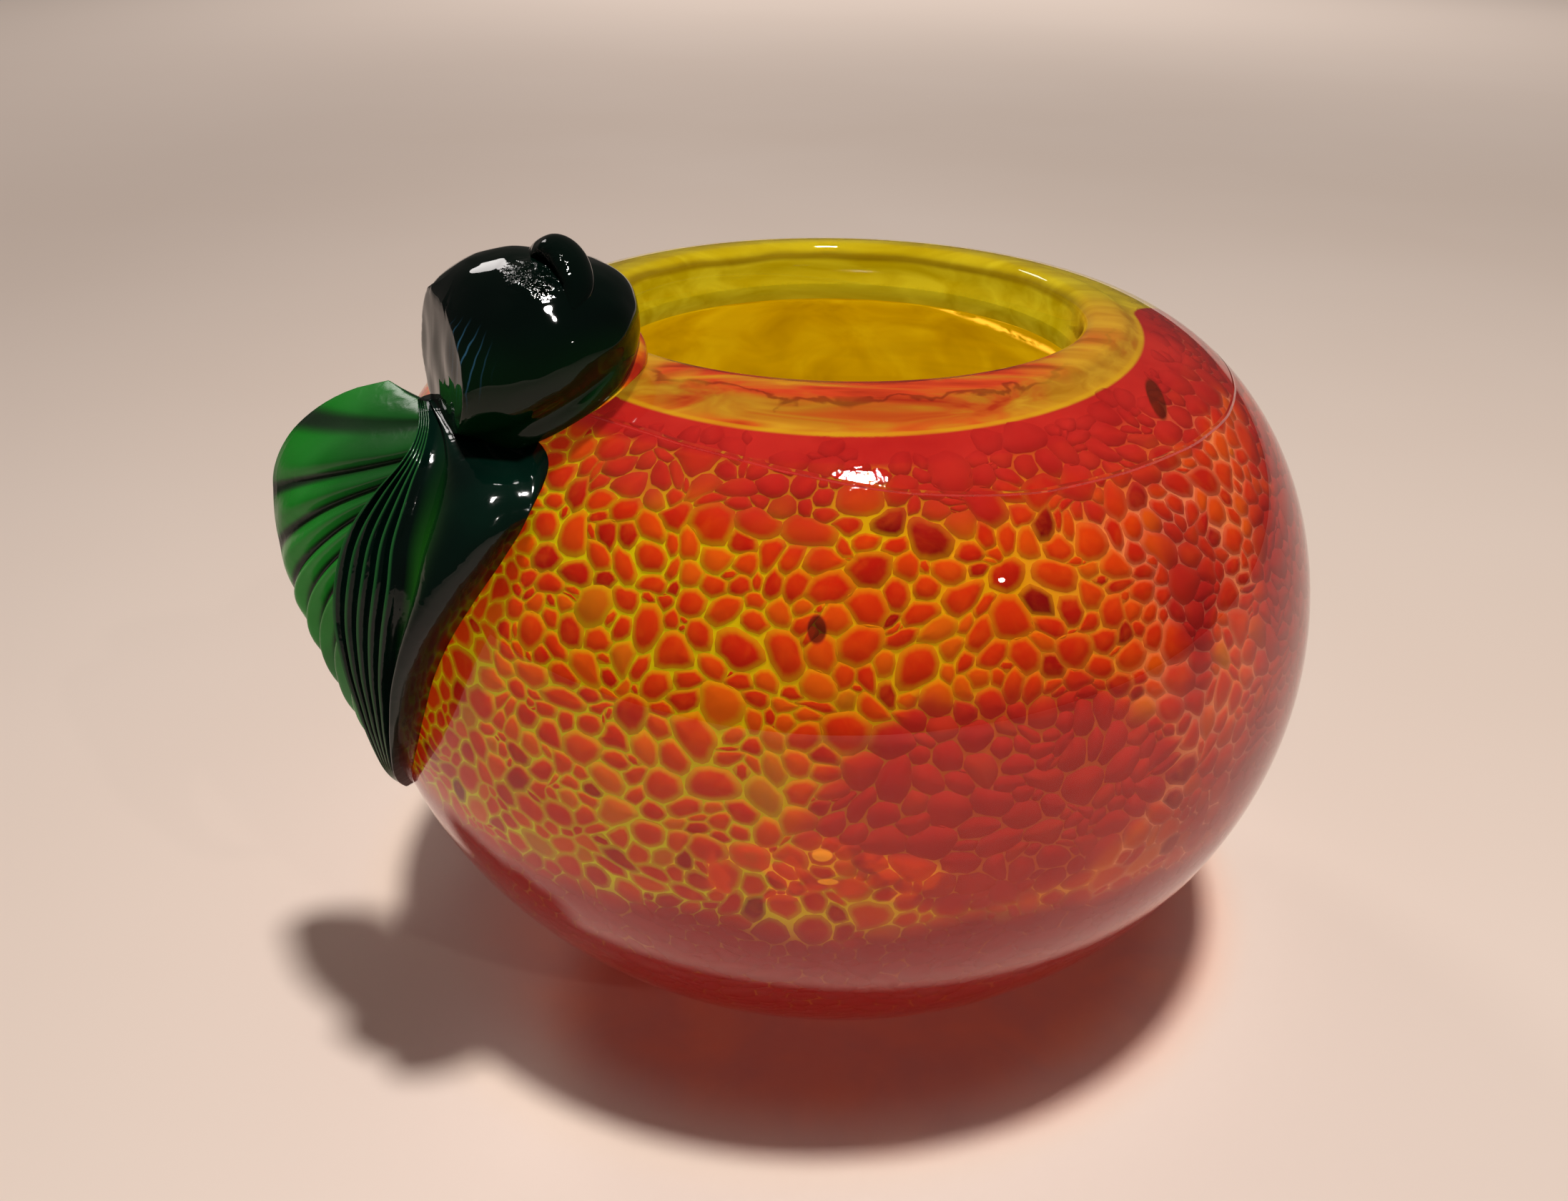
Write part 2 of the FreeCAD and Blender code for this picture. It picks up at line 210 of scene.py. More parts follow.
def blend(factor, first, second, how="MIX"):
    """The first colour where the factor is 0, and the second where it is 1."""
    graph = next(value.graph for value in (factor, first, second) if isinstance(value, Value))
    return graph.value("ShaderNodeMix", {0: factor, 6: first, 7: second}, 2, data_type="RGBA", blend_type=how)


def most(first, *others):
    for other in others:
        first = first.math("MAXIMUM", other)
    return first


# %% [markdown]
# ## Floor and light
# The apple stands on a pale, warm sheet under one small lamp almost straight overhead: the shadow lies
# close round the foot and its edge is crisp. Two weak lamps, at the side and behind, give the small
# glints, and a weak, even world fills the shadow. The floor is a large plane with a faint mottle, and
# it stays plain so that nothing competes with the glass.

# %% Floor
FLOOR_HALF = 3.0
# Middle of the painted reddish light in the bowl's shadow
RED_LIGHT_MIDDLE = (0.002, 0.004, 0.0)
FAR_GLOW = 0.88
floor_mesh = bpy.data.meshes.new("floor")
corner_ways = ((-1, -1), (1, -1), (1, 1), (-1, 1))
floor_mesh.from_pydata([(FLOOR_HALF * x, FLOOR_HALF * y, 0) for x, y in corner_ways], [], [(0, 1, 2, 3)])
floor = placed("floor", floor_mesh)
paint = Paint("pale_sheet")
place = paint.place()
east = place.axis("X")
sheet = place.noise(3.0, 3.0).ramp((0.3, 220, 202, 189), (0.7, 227, 211, 200))
# The sheet falls into dimmer light towards the left
sheet = blend(east.steps(-0.03, -0.35, 0.0, 0.5), sheet, srgb(176, 160, 150))
# Painted light: reddish light that came through the red glass is painted into the bowl's shadow on the sheet
painted_red_light = place.far_from(RED_LIGHT_MIDDLE).steps(0.066, 0.050) * east.steps(-0.075, -0.020)
red_light_colour = place.noise(70.0, 3.0, 0.4).ramp((0.35, 232, 172, 158), (0.7, 250, 176, 148))
# Far from the lamp the sheet is kept pale by some light of its own, and less so at both sides
far = place.vector("LENGTH", output="Value").steps(0.10, 1.9)
paint.set(
    Base_Color=blend(painted_red_light, sheet, red_light_colour),
    Roughness=0.75,
    Emission_Color=srgb(226, 206, 192),
    Emission_Strength=far * abs(east - 0.1).steps(1.4, 0.2, 0.35, 1.0) * FAR_GLOW,
)
floor_mesh.materials.append(paint.material)

# %% Lamps and world
# Name, place, size, power in watts and colour
LAMPS = [
    ("overhead_lamp", Vector((0.06, -0.11, 0.99)).normalized() * 0.85, 0.078, 6.6, (1.0, 0.96, 0.92)),
    ("side_lamp", Vector((0.53, -0.57, 0.63)) * 1.5, 0.035, 0.8, (1.0, 0.93, 0.86)),
    ("back_lamp", Vector((-0.55, 0.75, 0.9)), 0.25, 1.6, (1.0, 0.95, 0.92)),
]
for name, spot, size, power, colour in LAMPS:
    lamp = bpy.data.lights.new(name, "AREA")
    lamp.shape = "DISK"
    lamp.size = size
    lamp.energy = power
    lamp.color = colour
    hung = placed(name, lamp)
    hung.location = spot
    hung.rotation_mode = "QUATERNION"
    hung.rotation_quaternion = spot.to_track_quat("Z", "Y")
# The camera sees the room as a pale wall, and the glass is lit by a much weaker one
world = bpy.data.worlds.new("room")
bpy.context.scene.world = world
world.use_nodes = True
sky = Graph(world.node_tree)
dim = world.node_tree.nodes["Background"]
sky.fill(dim.inputs["Color"], srgb(214, 200, 190))
sky.fill(dim.inputs["Strength"], 0.11)
wall = sky.value("ShaderNodeBackground", {"Color": srgb(206, 189, 175), "Strength": 1.0})
seen = sky.value("ShaderNodeLightPath", output="Is Camera Ray")
mixed = sky.value("ShaderNodeMixShader", {0: seen, 1: Value(sky, dim.outputs[0]), 2: wall})
sky.link(mixed, world.node_tree.nodes["World Output"].inputs["Surface"])
print("lamps:", len(LAMPS))

# %% [markdown]
# ## The bowl's outline
# The bowl is turned, so one outline drawn from the foot to the lip makes every gather. Below the widest
# level the outline is a part of an ellipse that the ground foot cuts off, and above it a quarter
# ellipse that runs up to the crest of the lip. Each layer inside is the same outline, moved in.

# %% Outline of the bowl
BODY_RADIUS = 65.0 * MM
EQUATOR = 51.8 * MM
HEIGHT = 92.9 * MM
CREST = 33.2 * MM
MOUTH = 31.5 * MM
FOOT = 27.1 * MM
CLEAR_WALL = 4.5 * MM
CHIP_LAYER = 1.5 * MM
LINING_WALL = 3.0 * MM
CLEAR_FLOOR = 4.0 * MM
LINING_FLOOR = 6.5 * MM
CHIP_EDGE = 38.0 * MM
LIP_ROUND = CREST - MOUTH
LOWER_DEPTH = EQUATOR / math.sqrt(1 - (FOOT / BODY_RADIUS) ** 2)


def outside_ring(step):
    """Radius and height on the outside: step -1 is the foot's edge, 0 the widest level, 1 the crest."""
    if step < 0:
        turn = math.asin(EQUATOR / LOWER_DEPTH) * step
        return BODY_RADIUS * math.cos(turn), EQUATOR + LOWER_DEPTH * math.sin(turn)
    turn = math.pi / 2 * step
    return CREST + (BODY_RADIUS - CREST) * math.cos(turn), EQUATOR + (HEIGHT - EQUATOR) * math.sin(turn)


def inside_ring(step, inset, low):
    """The same on a surface that lies inset under the side and stands low over the foot."""
    turn = math.pi / 2 * step
    if step < 0:
        return (BODY_RADIUS - inset) * math.cos(turn), EQUATOR + (EQUATOR - low) * math.sin(turn)
    swell = BODY_RADIUS - inset - CREST
    return CREST + swell * math.cos(turn), EQUATOR + (HEIGHT - inset - EQUATOR) * math.sin(turn)


def steps(first, last, count):
    return [first + (last - first) * i / count for i in range(count + 1)]


def circle(count):
    return [2 * math.pi * k / count for k in range(count)]


# %% [markdown]
# ## Turning a layer
# A closed outline is spun about the Z axis. Where it meets the axis the ring shrinks to one vertex, so
# the pole is closed and has no sliver faces.

# %% Turned meshes
def new_piece(name, mesh, materials):
    for material in materials:
        mesh.materials.append(material)
    mesh.validate()
    mesh.update()
    mesh.polygons.foreach_set("use_smooth", [True] * len(mesh.polygons))
    return placed(name, mesh)


def turned_mesh(name, outline, segments):
    """A mesh turned from (radius, height) points. A radius of zero becomes one pole vertex."""
    vertices, rings, faces = [], [], []
    for radius, level in outline:
        turns = circle(segments)[: segments if radius > 0 else 1]
        rings.append(range(len(vertices), len(vertices) + len(turns)))
        vertices += [(radius * math.cos(t), radius * math.sin(t), level) for t in turns]
    for one, two in zip(rings, rings[1:]):
        for k in range(segments):
            j = (k + 1) % segments
            corners = [one[k % len(one)], one[j % len(one)], two[j % len(two)], two[k % len(two)]]
            corners = list(dict.fromkeys(corners))
            if len(corners) > 2:
                faces.append(corners)
    mesh = bpy.data.meshes.new(name)
    mesh.from_pydata(vertices, [], faces)
    return mesh


# %% [markdown]
# ## Yellow lining
# The first bubble is a transparent yellow that the eye sees twice: as the bright inside of the bowl,
# and as the thin seams that glow between the chips. Glass this thick in real yellow would need many
# light bounces. The lining is instead a solid yellow with some light of its own, which holds its colour
# from any side. Its outside, under the chips, runs from lime on the left to orange on the right. Where
# red glass lies over the chips in the photograph, one group of nodes gives that red to the seams and to
# the chips alike. The same group also paints a deep red shade on the foot, a painted reflection on a
# patch in front and a painted glow low at the front, and it colours the lip.

# %% Zones of colour
# Where one zone passes into the next, in metres: heights, distances to the right, and radii
SHADED_FOOT_ZONE = (0.0425, 0.0365)
SHOULDER_ZONE = (0.0800, 0.0840)
FLANK_ZONE = (0.034, 0.050)
COLLAR_ZONE = (0.0450, 0.0425)
UPPER_ZONE = (0.080, 0.081)
LIP_ZONE = (0.0385, 0.0381)
BACK_ZONE = (-0.006, 0.010)
# Centres and half sizes of single spots, in metres
# A painted reflection on a patch in front, which veils the chips in red
REFLECTION_PATCH = ((0.016, -0.058, 0.054), (0.021, 0.03, 0.0125))
GLOW = ((-0.003, -0.058, 0.047), (0.016, 0.03, 0.0042))
HALO = ((-0.0025, -0.0595, 0.0495), (0.0036, 0.02, 0.0028))
UPPER_SPARK = ((-0.0025, -0.0595, 0.0500), (0.0012, 0.02, 0.0009))
LOWER_SPARK = ((-0.0018, -0.0595, 0.0465), (0.0013, 0.02, 0.0005))
PIT = ((-0.0035, -0.0550, 0.0735), (0.0011, 0.0030, 0.0015))
SLIT = ((0.0355, -0.0235, 0.0860), (0.0011, 0.0036, 0.0036))
# Level of the painted brown reflection line on the lip at the back
SHOULDER_LINE = 0.0912
LIP_CRACK = 0.0355


def zone_group():
    """Colours by place on the bowl, for the seams and for what covers the chips, with painted shade, a
    painted reflection and a painted glow among them.
    """
    tree = bpy.data.node_groups.new("glass_zones", "ShaderNodeTree")
    tree.interface.new_socket("Place", in_out="INPUT", socket_type="NodeSocketVector")
    for name in ("Seam", "Cover"):
        tree.interface.new_socket(name, in_out="OUTPUT", socket_type="NodeSocketColor")
    tree.interface.new_socket("Covered", in_out="OUTPUT", socket_type="NodeSocketFloat")
    graph = Graph(tree)
    place = graph.value("NodeGroupInput", output="Place")
    x, y, z = (place.axis(name) for name in "XYZ")
    drift = place.noise(60.0, 3.0, 0.3) - 0.5

    def near(centre, size):
        """One at the centre of an ellipsoid with a wavy edge, nought outside it."""
        scaled = place.vector("SUBTRACT", centre).vector("DIVIDE", size)
        return (scaled.vector("LENGTH", output="Value") + drift * 0.9).steps(1.12, 0.82)

    side = x + drift * 0.05
    up = z + drift * 0.012
    radius = graph.value("ShaderNodeCombineXYZ", {0: x, 1: y}).vector("LENGTH", output="Value")
    upper = z.steps(*UPPER_ZONE)
    seam = side.steps(-0.030, 0.062).ramp(
        (0.0, 196, 172, 2), (0.4, 212, 142, 6), (0.7, 220, 112, 40), (1.0, 226, 132, 104)
    )
    # Red glass covers the chips on the shoulder and on the right flank. Low down, painted shade turns chips
    # and seams deep red, and on a patch in front a painted reflection veils them in red
    low = up.steps(*SHADED_FOOT_ZONE)
    high = up.steps(*SHOULDER_ZONE) * side.steps(-0.034, -0.008, 0.30, 0.90)
    collar = radius.steps(*COLLAR_ZONE) * upper
    cover_and_painted_light_mask = most(low, near(*REFLECTION_PATCH) * 0.85, high, side.steps(*FLANK_ZONE) * 0.95, collar)
    cover_and_painted_light = blend(place.noise(160.0, 2.0, 0.4), srgb(156, 20, 20), srgb(188, 44, 36))
    cover_and_painted_light = blend(side.steps(0.030, 0.055), cover_and_painted_light, srgb(146, 20, 20))
    # Painted shade: the foot is a deeper, darker red
    cover_and_painted_light = blend(low, cover_and_painted_light, srgb(150, 20, 16))
    seam = blend(most(cover_and_painted_light_mask * 0.88, collar), seam, cover_and_painted_light)
    # Light gathers in the thick foot and comes out low at the front, with two sparks in a halo
    broken = place.noise(210.0, 3.0, 0.8).steps(0.42, 0.60)
    spark = most(near(*UPPER_SPARK), near(*LOWER_SPARK))
    glow = most(near(*GLOW) * broken * 0.8, near(*HALO) * 0.5, spark)
    seam = blend(glow, seam, srgb(255, 150, 24))
    cover_and_painted_light = blend(glow, cover_and_painted_light, blend(spark, srgb(236, 66, 10), srgb(255, 150, 30)))
    # The lip's colours begin farther out at the front and at the back than at both ends
    front = most(y * -1.0 / radius, 0.0)
    edge = radius - front * front * 0.0010 - (y / radius).steps(0.02, 0.45) * 0.0110
    at_lip = edge.steps(*LIP_ZONE) * upper
    # Red streaks with a dark crack at the front, amber at both ends, and clear lime at the back
    streaks = place.noise(150.0, 3.0, 0.7, stretch=(0.35, 1.9, 2.2))
    lip = streaks.ramp((0.38, 150, 34, 14), (0.52, 194, 62, 26), (0.61, 184, 98, 24), (0.72, 192, 128, 22))
    paler = streaks.ramp((0.36, 176, 50, 20), (0.47, 194, 88, 26), (0.56, 188, 118, 26), (0.68, 200, 146, 34))
    lip = blend(edge.steps(0.0350, 0.0362), lip, paler)
    off_crack = abs(edge + (place.noise(190.0, 3.0, 0.6) - 0.5) * 0.0040 - LIP_CRACK)
    lip = blend(off_crack.steps(0.00038, 0.00008, 0.0, 0.65), lip, srgb(112, 30, 12))
    ends = most(side.steps(0.020, 0.030), side.steps(-0.014, -0.022))
    lip = blend(ends, lip, streaks.ramp((0.35, 176, 118, 18), (0.7, 198, 150, 34)))
    lip = blend(edge.steps(0.0376, 0.0379, 0.0, 0.6), lip, srgb(196, 150, 20))
    lip = blend(y.steps(*BACK_ZONE), lip, streaks.ramp((0.35, 168, 142, 4), (0.7, 192, 170, 26)))
    # Painted reflection: a brown line follows the inner shoulder of the lip at the back
    off_line = abs(z + (place.noise(48.0, 1.0, 0.5) - 0.5) * 0.0022 - SHOULDER_LINE)
    line = off_line.steps(0.0008, 0.0001) * radius.steps(0.0334, 0.0326) * y.steps(-0.004, 0.008, 0.0, 0.7)
    lip = blend(line, lip, srgb(104, 74, 6))
    # Two dark flecks were caught in the glass
    fleck = most(near(*PIT), near(*SLIT)) * 0.85
    result = graph.node("NodeGroupOutput")
    for name, colour in (("Seam", seam), ("Cover", cover_and_painted_light)):
        colour = blend(fleck, blend(at_lip, colour, lip), srgb(70, 24, 6))
        graph.link(colour, result.inputs[name])
    graph.link(most(cover_and_painted_light_mask, glow, at_lip, fleck), result.inputs["Covered"])
    return tree


glass_zones = zone_group()

# %% Lining materials
paint = Paint("yellow_seams")
warm = paint.group(glass_zones, paint.place())["Seam"]
paint.set(
    Base_Color=blend(1.0, warm, (0.42, 0.42, 0.36), "MULTIPLY"),
    Roughness=0.5,
    Specular_IOR_Level=0.0,
    Emission_Color=warm,
    Emission_Strength=0.52,
)
seam_material = paint.material

GLEAM_SLANT = 0.32
GLEAM_LEVEL = 0.0872
paint = Paint("yellow_bowl")
place = paint.place()
east, north, level = (place.axis(name) for name in "XYZ")
tone = place.noise(90.0, 3.0, 0.6).ramp((0.30, 168, 136, 0), (0.52, 190, 160, 0), (0.72, 206, 182, 10))
tone = blend(level.steps(0.030, 0.070), srgb(192, 146, 0), tone)
band = place.noise(60.0, 2.0, 0.4, stretch=(0.3, 0.3, 3.0)).steps(0.52, 0.66, 0.0, 0.30)
tone = blend(band, tone, srgb(150, 118, 0))
# A gleam of gathered light lies slantwise on the far wall
gleam = abs(level + east * GLEAM_SLANT - GLEAM_LEVEL).steps(0.0011, 0.0002)
gleam = gleam * north.steps(0.030, 0.034) * east.steps(0.009, 0.013)
gleam = gleam * place.noise(340.0, 2.0, 0.6).steps(0.36, 0.56)
tone = blend(gleam, tone, srgb(255, 196, 60))
paint.set(Base_Color=tone, Roughness=0.08, Emission_Color=tone, Emission_Strength=gleam * 0.6 + 0.40)
bowl_material = paint.material

# %% Lining mesh
LINING_IN = CLEAR_WALL + CHIP_LAYER
BOWL_IN = LINING_IN + LINING_WALL
LINING_LOW = CLEAR_FLOOR + CHIP_LAYER
BOWL_LOW = LINING_LOW + LINING_FLOOR
SKIN = 1.0 * MM
SEAM_DEPTH = 0.28 * MM
SEAM_IN = CLEAR_WALL + SEAM_DEPTH
SEAM_LOW = CLEAR_FLOOR + SEAM_DEPTH
RISE_START = 0.886
RISE_LENGTH = 0.05
UNEVEN = 0.35 * MM
LINING_SEGMENTS = 192


def gentle(point):
    """Blown glass is a little uneven inside."""
    push = noise.noise(point * 45.0) * UNEVEN
    return point + Vector((point.x, point.y, 0)).normalized() * push


def under_lip(step):
    """The lining's outside, which rises to just under the surface at the lip."""
    rise = min(1.0, max(0.0, (step - RISE_START) / RISE_LENGTH))
    inset = SEAM_IN + (SKIN - SEAM_IN) * rise * rise * (3 - 2 * rise)
    return inside_ring(step, inset, SEAM_LOW)


lining_out = [under_lip(s) for s in steps(-1.0, 1.0, 96)]
lining_out[0] = (0.0, SEAM_LOW)
bowl_side = [inside_ring(s, BOWL_IN, BOWL_LOW) for s in steps(1.0, -1.0, 96)]
bowl_side[-1] = (0.0, BOWL_LOW)
lip_turn = [
    (MOUTH + 0.9 * MM, HEIGHT - SKIN - 0.4 * MM),
    (MOUTH + 0.4 * MM, HEIGHT - SKIN - 1.2 * MM),
    (MOUTH + 0.3 * MM, HEIGHT - LINING_IN + 0.4 * MM),
    (MOUTH, HEIGHT - LINING_IN),
    (MOUTH, HEIGHT - BOWL_IN + LIP_ROUND),
    (CREST - LIP_ROUND * math.cos(0.7), HEIGHT - BOWL_IN + LIP_ROUND * (1 - math.sin(0.7))),
]
lining_mesh = turned_mesh("yellow_lining", lining_out + lip_turn + bowl_side, LINING_SEGMENTS)
# The seams' paint goes over the lip and ends where the inside of the bowl begins
first_inner = (len(lining_out) + len(lip_turn) - 1) * LINING_SEGMENTS
for vertex in lining_mesh.vertices[first_inner + 1 : -1]:
    vertex.co = gentle(vertex.co)
yellow_lining = new_piece("yellow_lining_glass", lining_mesh, [seam_material, bowl_material])
for index, polygon in enumerate(lining_mesh.polygons):
    polygon.material_index = 1 if index >= first_inner else 0
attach(yellow_lining, "root")
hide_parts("yellow_lining")
print("lining:", len(lining_mesh.polygons), "faces")

# %% [markdown]
# ## Coat of chips
# The bubble was rolled in broken red glass. Each chip melted into a rounded cell that leaves a thin
# seam to its neighbours, like cells in a slice of cork. Painting the cells would leave them flat, so
# each chip is a real pebble. Points are strewn over the bowl, a net of triangles joins them, and
# Geometry Nodes turn the net inside out: every point becomes a cell (Dual Mesh), every cell gets a
# shade and a size of its own, is rounded, and grows inward to its thickness. Some noise then draws the
# cells out of true, and each point is laid back on the curve of the bowl.

# %% Net of chip centres
CHIP_COUNT = 8300
CHIP_PUSH = 0.85
THINNING = 0.55
SEED = 1736
chip_random = np.random.default_rng(SEED)
# Vectors of noise start from the clock unless they are given a seed
noise.seed_set(SEED)


def strewn_points():
    """Points spread over a ball, evenly at first and then pushed about and thinned in patches."""
    index = np.arange(CHIP_COUNT) + 0.5
    level = 1 - 2 * index / CHIP_COUNT
    turn = np.pi * (1 + 5 ** 0.5) * index
    flat = np.sqrt(1 - level * level)
    points = np.stack([flat * np.cos(turn), flat * np.sin(turn), level], 1)
    push = CHIP_PUSH * math.sqrt(4 * math.pi / CHIP_COUNT)
    points += chip_random.uniform(-push, push, points.shape)
    points /= np.linalg.norm(points, axis=1)[:, None]
    kept = []
    for point in points:
        patch = 0.5 + 0.5 * noise.noise(Vector(point) * 5.0)
        if chip_random.uniform() > THINNING * patch:
            kept.append(point)
    return kept


def area_table(inset, low, count=400):
    """Heights on a ball against rings on the bowl's side, so that equal areas match."""
    rings = [inside_ring(s, inset, low) for s in steps(-1.0, 1.0, count)]
    share = [0.0]
    for (r1, z1), (r2, z2) in zip(rings, rings[1:]):
        share.append(share[-1] + (r1 + r2) / 2 * math.hypot(r2 - r1, z2 - z1))
    whole = share[-1]
    ball = math.sqrt(whole / (1 + math.sqrt(1 - 0.3)))
    top = math.sqrt(1 - (CREST / ball) ** 2)
    return [s / whole * (1 + top) - 1 for s in share], rings


ball_levels, side_rings = area_table(CLEAR_WALL, CLEAR_FLOOR)
net = bmesh.new()
for point in strewn_points():
    net.verts.new(point)
bmesh.ops.convex_hull(net, input=net.verts)
radii, heights = zip(*side_rings)
outside_verts = []
for vertex in net.verts:
    x, y, level = vertex.co
    turn = math.atan2(y, x)
    radius = float(np.interp(level, ball_levels, radii))
    height = float(np.interp(level, ball_levels, heights))
    if level > ball_levels[-1] or radius < CHIP_EDGE and height > EQUATOR:
        outside_verts.append(vertex)
        continue
    vertex.co = (radius * math.cos(turn), radius * math.sin(turn), height)
bmesh.ops.delete(net, geom=outside_verts, context="VERTS")
bmesh.ops.recalc_face_normals(net, faces=net.faces)
net_mesh = bpy.data.meshes.new("chip_net")
net.to_mesh(net_mesh)
net.free()
lowest = min(net_mesh.polygons, key=lambda p: p.center.z)
if lowest.normal.z > 0:
    net_mesh.flip_normals()
print("net:", len(net_mesh.vertices), "chip centres")

# %% Chip material
paint = Paint("red_chip_glass")
place = paint.place()
zones = paint.group(glass_zones, place)
red = paint.attribute("tone").ramp(
    (0.00, 124, 12, 8),
    (0.04, 164, 22, 8),
    (0.16, 188, 34, 8),
    (0.50, 196, 46, 6),
    (0.80, 202, 62, 6),
    (0.97, 204, 84, 6),
    (1.00, 182, 100, 8),
)
red = blend(place.noise(420.0, 3.0, 0.5).steps(0.35, 0.75, 0.0, 0.22), red, srgb(226, 96, 14))
red = blend(paint.attribute("rim").steps(0.62, 1.0, 0.0, 0.55), red, zones["Seam"])
# Under red glass, and where the group paints shade on the foot, a reflection in front and a glow, the chips
# take the group's colour
red = blend(zones["Covered"], red, zones["Cover"])
# The chips get light of their own: a painted glow of the light that passes through them from the bowl
paint.set(
    Base_Color=blend(1.0, red, (0.42, 0.38, 0.36), "MULTIPLY"),
    Roughness=0.5,
    Specular_IOR_Level=0.0,
    Emission_Color=red,
    Emission_Strength=0.46,
)
chip_material = paint.material

# %% Geometry Nodes: cells from the net
def chip_tree():
    tree = bpy.data.node_groups.new("chips_from_net", "GeometryNodeTree")
    face = tree.interface
    face.new_socket("Geometry", in_out="INPUT", socket_type="NodeSocketGeometry")
    for name, value in (("Seam", 0.98), ("Thickness", 0.0007)):
        socket = face.new_socket(name, in_out="INPUT", socket_type="NodeSocketFloat")
        socket.default_value = value
    face.new_socket("Material", in_out="INPUT", socket_type="NodeSocketMaterial")
    face.new_socket("Geometry", in_out="OUTPUT", socket_type="NodeSocketGeometry")
    graph = Graph(tree)

    def step(kind, inputs=None, output=0, **settings):
        return graph.value("GeometryNode" + kind, inputs, output, **settings)

    def drawn(low, high, seed):
        """A random value for each cell."""
        inputs = {2: low, 3: high, "Seed": seed}
        return graph.value("FunctionNodeRandomValue", inputs, 1, data_type="FLOAT")

    def stored(mesh, name, value, domain):
        inputs = {"Geometry": mesh, "Name": name, "Value": value}
        return step("StoreNamedAttribute", inputs, data_type="FLOAT", domain=domain)

    given = {output.name: Value(graph, output) for output in graph.node("NodeGroupInput").outputs}
    cells = step("SplitEdges", {"Mesh": step("DualMesh", {"Mesh": given["Geometry"]})})
    cells = stored(cells, "tone", drawn(0.0, 1.0, 11), "FACE")
    size = given["Seam"] * drawn(0.84, 1.02, 5)
    cells = step("ScaleElements", {"Geometry": cells, "Scale": size}, domain="FACE")
    cells = step("SubdivisionSurface", {"Mesh": cells, "Level": 1})
    # An edge with a single face lies on the rim of its chip
    lone = step("InputMeshEdgeNeighbors").math("LESS_THAN", 1.5)
    on_rim = step("FieldOnDomain", {0: lone}, data_type="FLOAT", domain="EDGE").math("GREATER_THAN", 0.3)
    cells = stored(cells, "rim", on_rim, "POINT")
    inward = {"Mesh": cells, "Offset Scale": given["Thickness"] * -1.0, "Individual": False}
    backs = step("FlipFaces", {"Mesh": step("ExtrudeMesh", inward, mode="FACES")})
    joined = graph.node("GeometryNodeJoinGeometry")
    graph.link(cells, joined.inputs[0])
    graph.link(backs, joined.inputs[0])
    whole = {"Geometry": Value(graph, joined.outputs[0]), "Distance": 0.000004}
    smooth = step("SetShadeSmooth", {"Geometry": step("MergeByDistance", whole)})
    painted = step("SetMaterial", {"Geometry": smooth, "Material": given["Material"]})
    real = step("RealizeInstances", {"Geometry": painted})
    graph.link(real, graph.node("NodeGroupOutput").inputs[0])
    return tree


def grown_mesh(base_mesh, tree, inputs):
    """The plain mesh that a tree makes of base_mesh. Inputs are set by their sockets' identifiers."""
    carrier = placed("carrier", base_mesh)
    modifier = carrier.modifiers.new("grow", "NODES")
    modifier.node_group = tree
    for item in tree.interface.items_tree:
        if item.in_out == "INPUT" and item.name in inputs:
            modifier[item.identifier] = inputs[item.name]
    graph = bpy.context.evaluated_depsgraph_get()
    made = bpy.data.meshes.new_from_object(carrier.evaluated_get(graph))
    bpy.data.objects.remove(carrier)
    return made


CHIP_THICK = 0.7 * MM
CHIP_SIZE = 1.10
chips_mesh = grown_mesh(
    net_mesh,
    chip_tree(),
    {"Seam": CHIP_SIZE, "Thickness": CHIP_THICK, "Material": chip_material},
)

# %% Chips on the curve of the bowl
TOP_GAP = 0.06 * MM
DEPTH_KEPT = 0.9
# Fineness of the noise and how far it moves a point
WARPS = ((240.0, 0.75 * MM), (720.0, 0.30 * MM))


def side_shape(points):
    """For each point, how far out it is on the layer's outline (1 is on it), and the outline's sizes."""
    radius = np.hypot(points[:, 0], points[:, 1])
    rise = points[:, 2] - EQUATOR
    upper = rise > 0
    middle = np.where(upper & (radius > CREST), CREST, 0.0)
    wide = BODY_RADIUS - CLEAR_WALL - middle
    tall = np.where(upper, HEIGHT - CLEAR_WALL - EQUATOR, EQUATOR - CLEAR_FLOOR)
    return radius, rise, middle, wide, np.hypot((radius - middle) / wide, rise / tall)


def settle(mesh):
    """Chips that are flat in the net are drawn out of true and bent to the bowl's curve."""
    flat = np.zeros(len(mesh.vertices) * 3, np.float32)
    mesh.vertices.foreach_get("co", flat)
    points = flat.reshape(-1, 3).astype(float)
    _, _, _, wide, far = side_shape(points)
    wanted = TOP_GAP + np.clip((1 - far) * wide, 0.0, None) * DEPTH_KEPT
    for point in points:
        place = Vector(point)
        for fineness, size in WARPS:
            point += np.array(noise.noise_vector(place * fineness)) * size
    radius, rise, middle, wide, far = side_shape(points)
    grow = (1 - wanted / wide) / far
    new_radius = middle + (radius - middle) * grow
    points[:, :2] *= (new_radius / np.maximum(radius, 1e-9))[:, None]
    points[:, 2] = EQUATOR + rise * grow
    mesh.vertices.foreach_set("co", points.astype(np.float32).reshape(-1))


settle(chips_mesh)
print("chips:", len(chips_mesh.polygons), "faces")



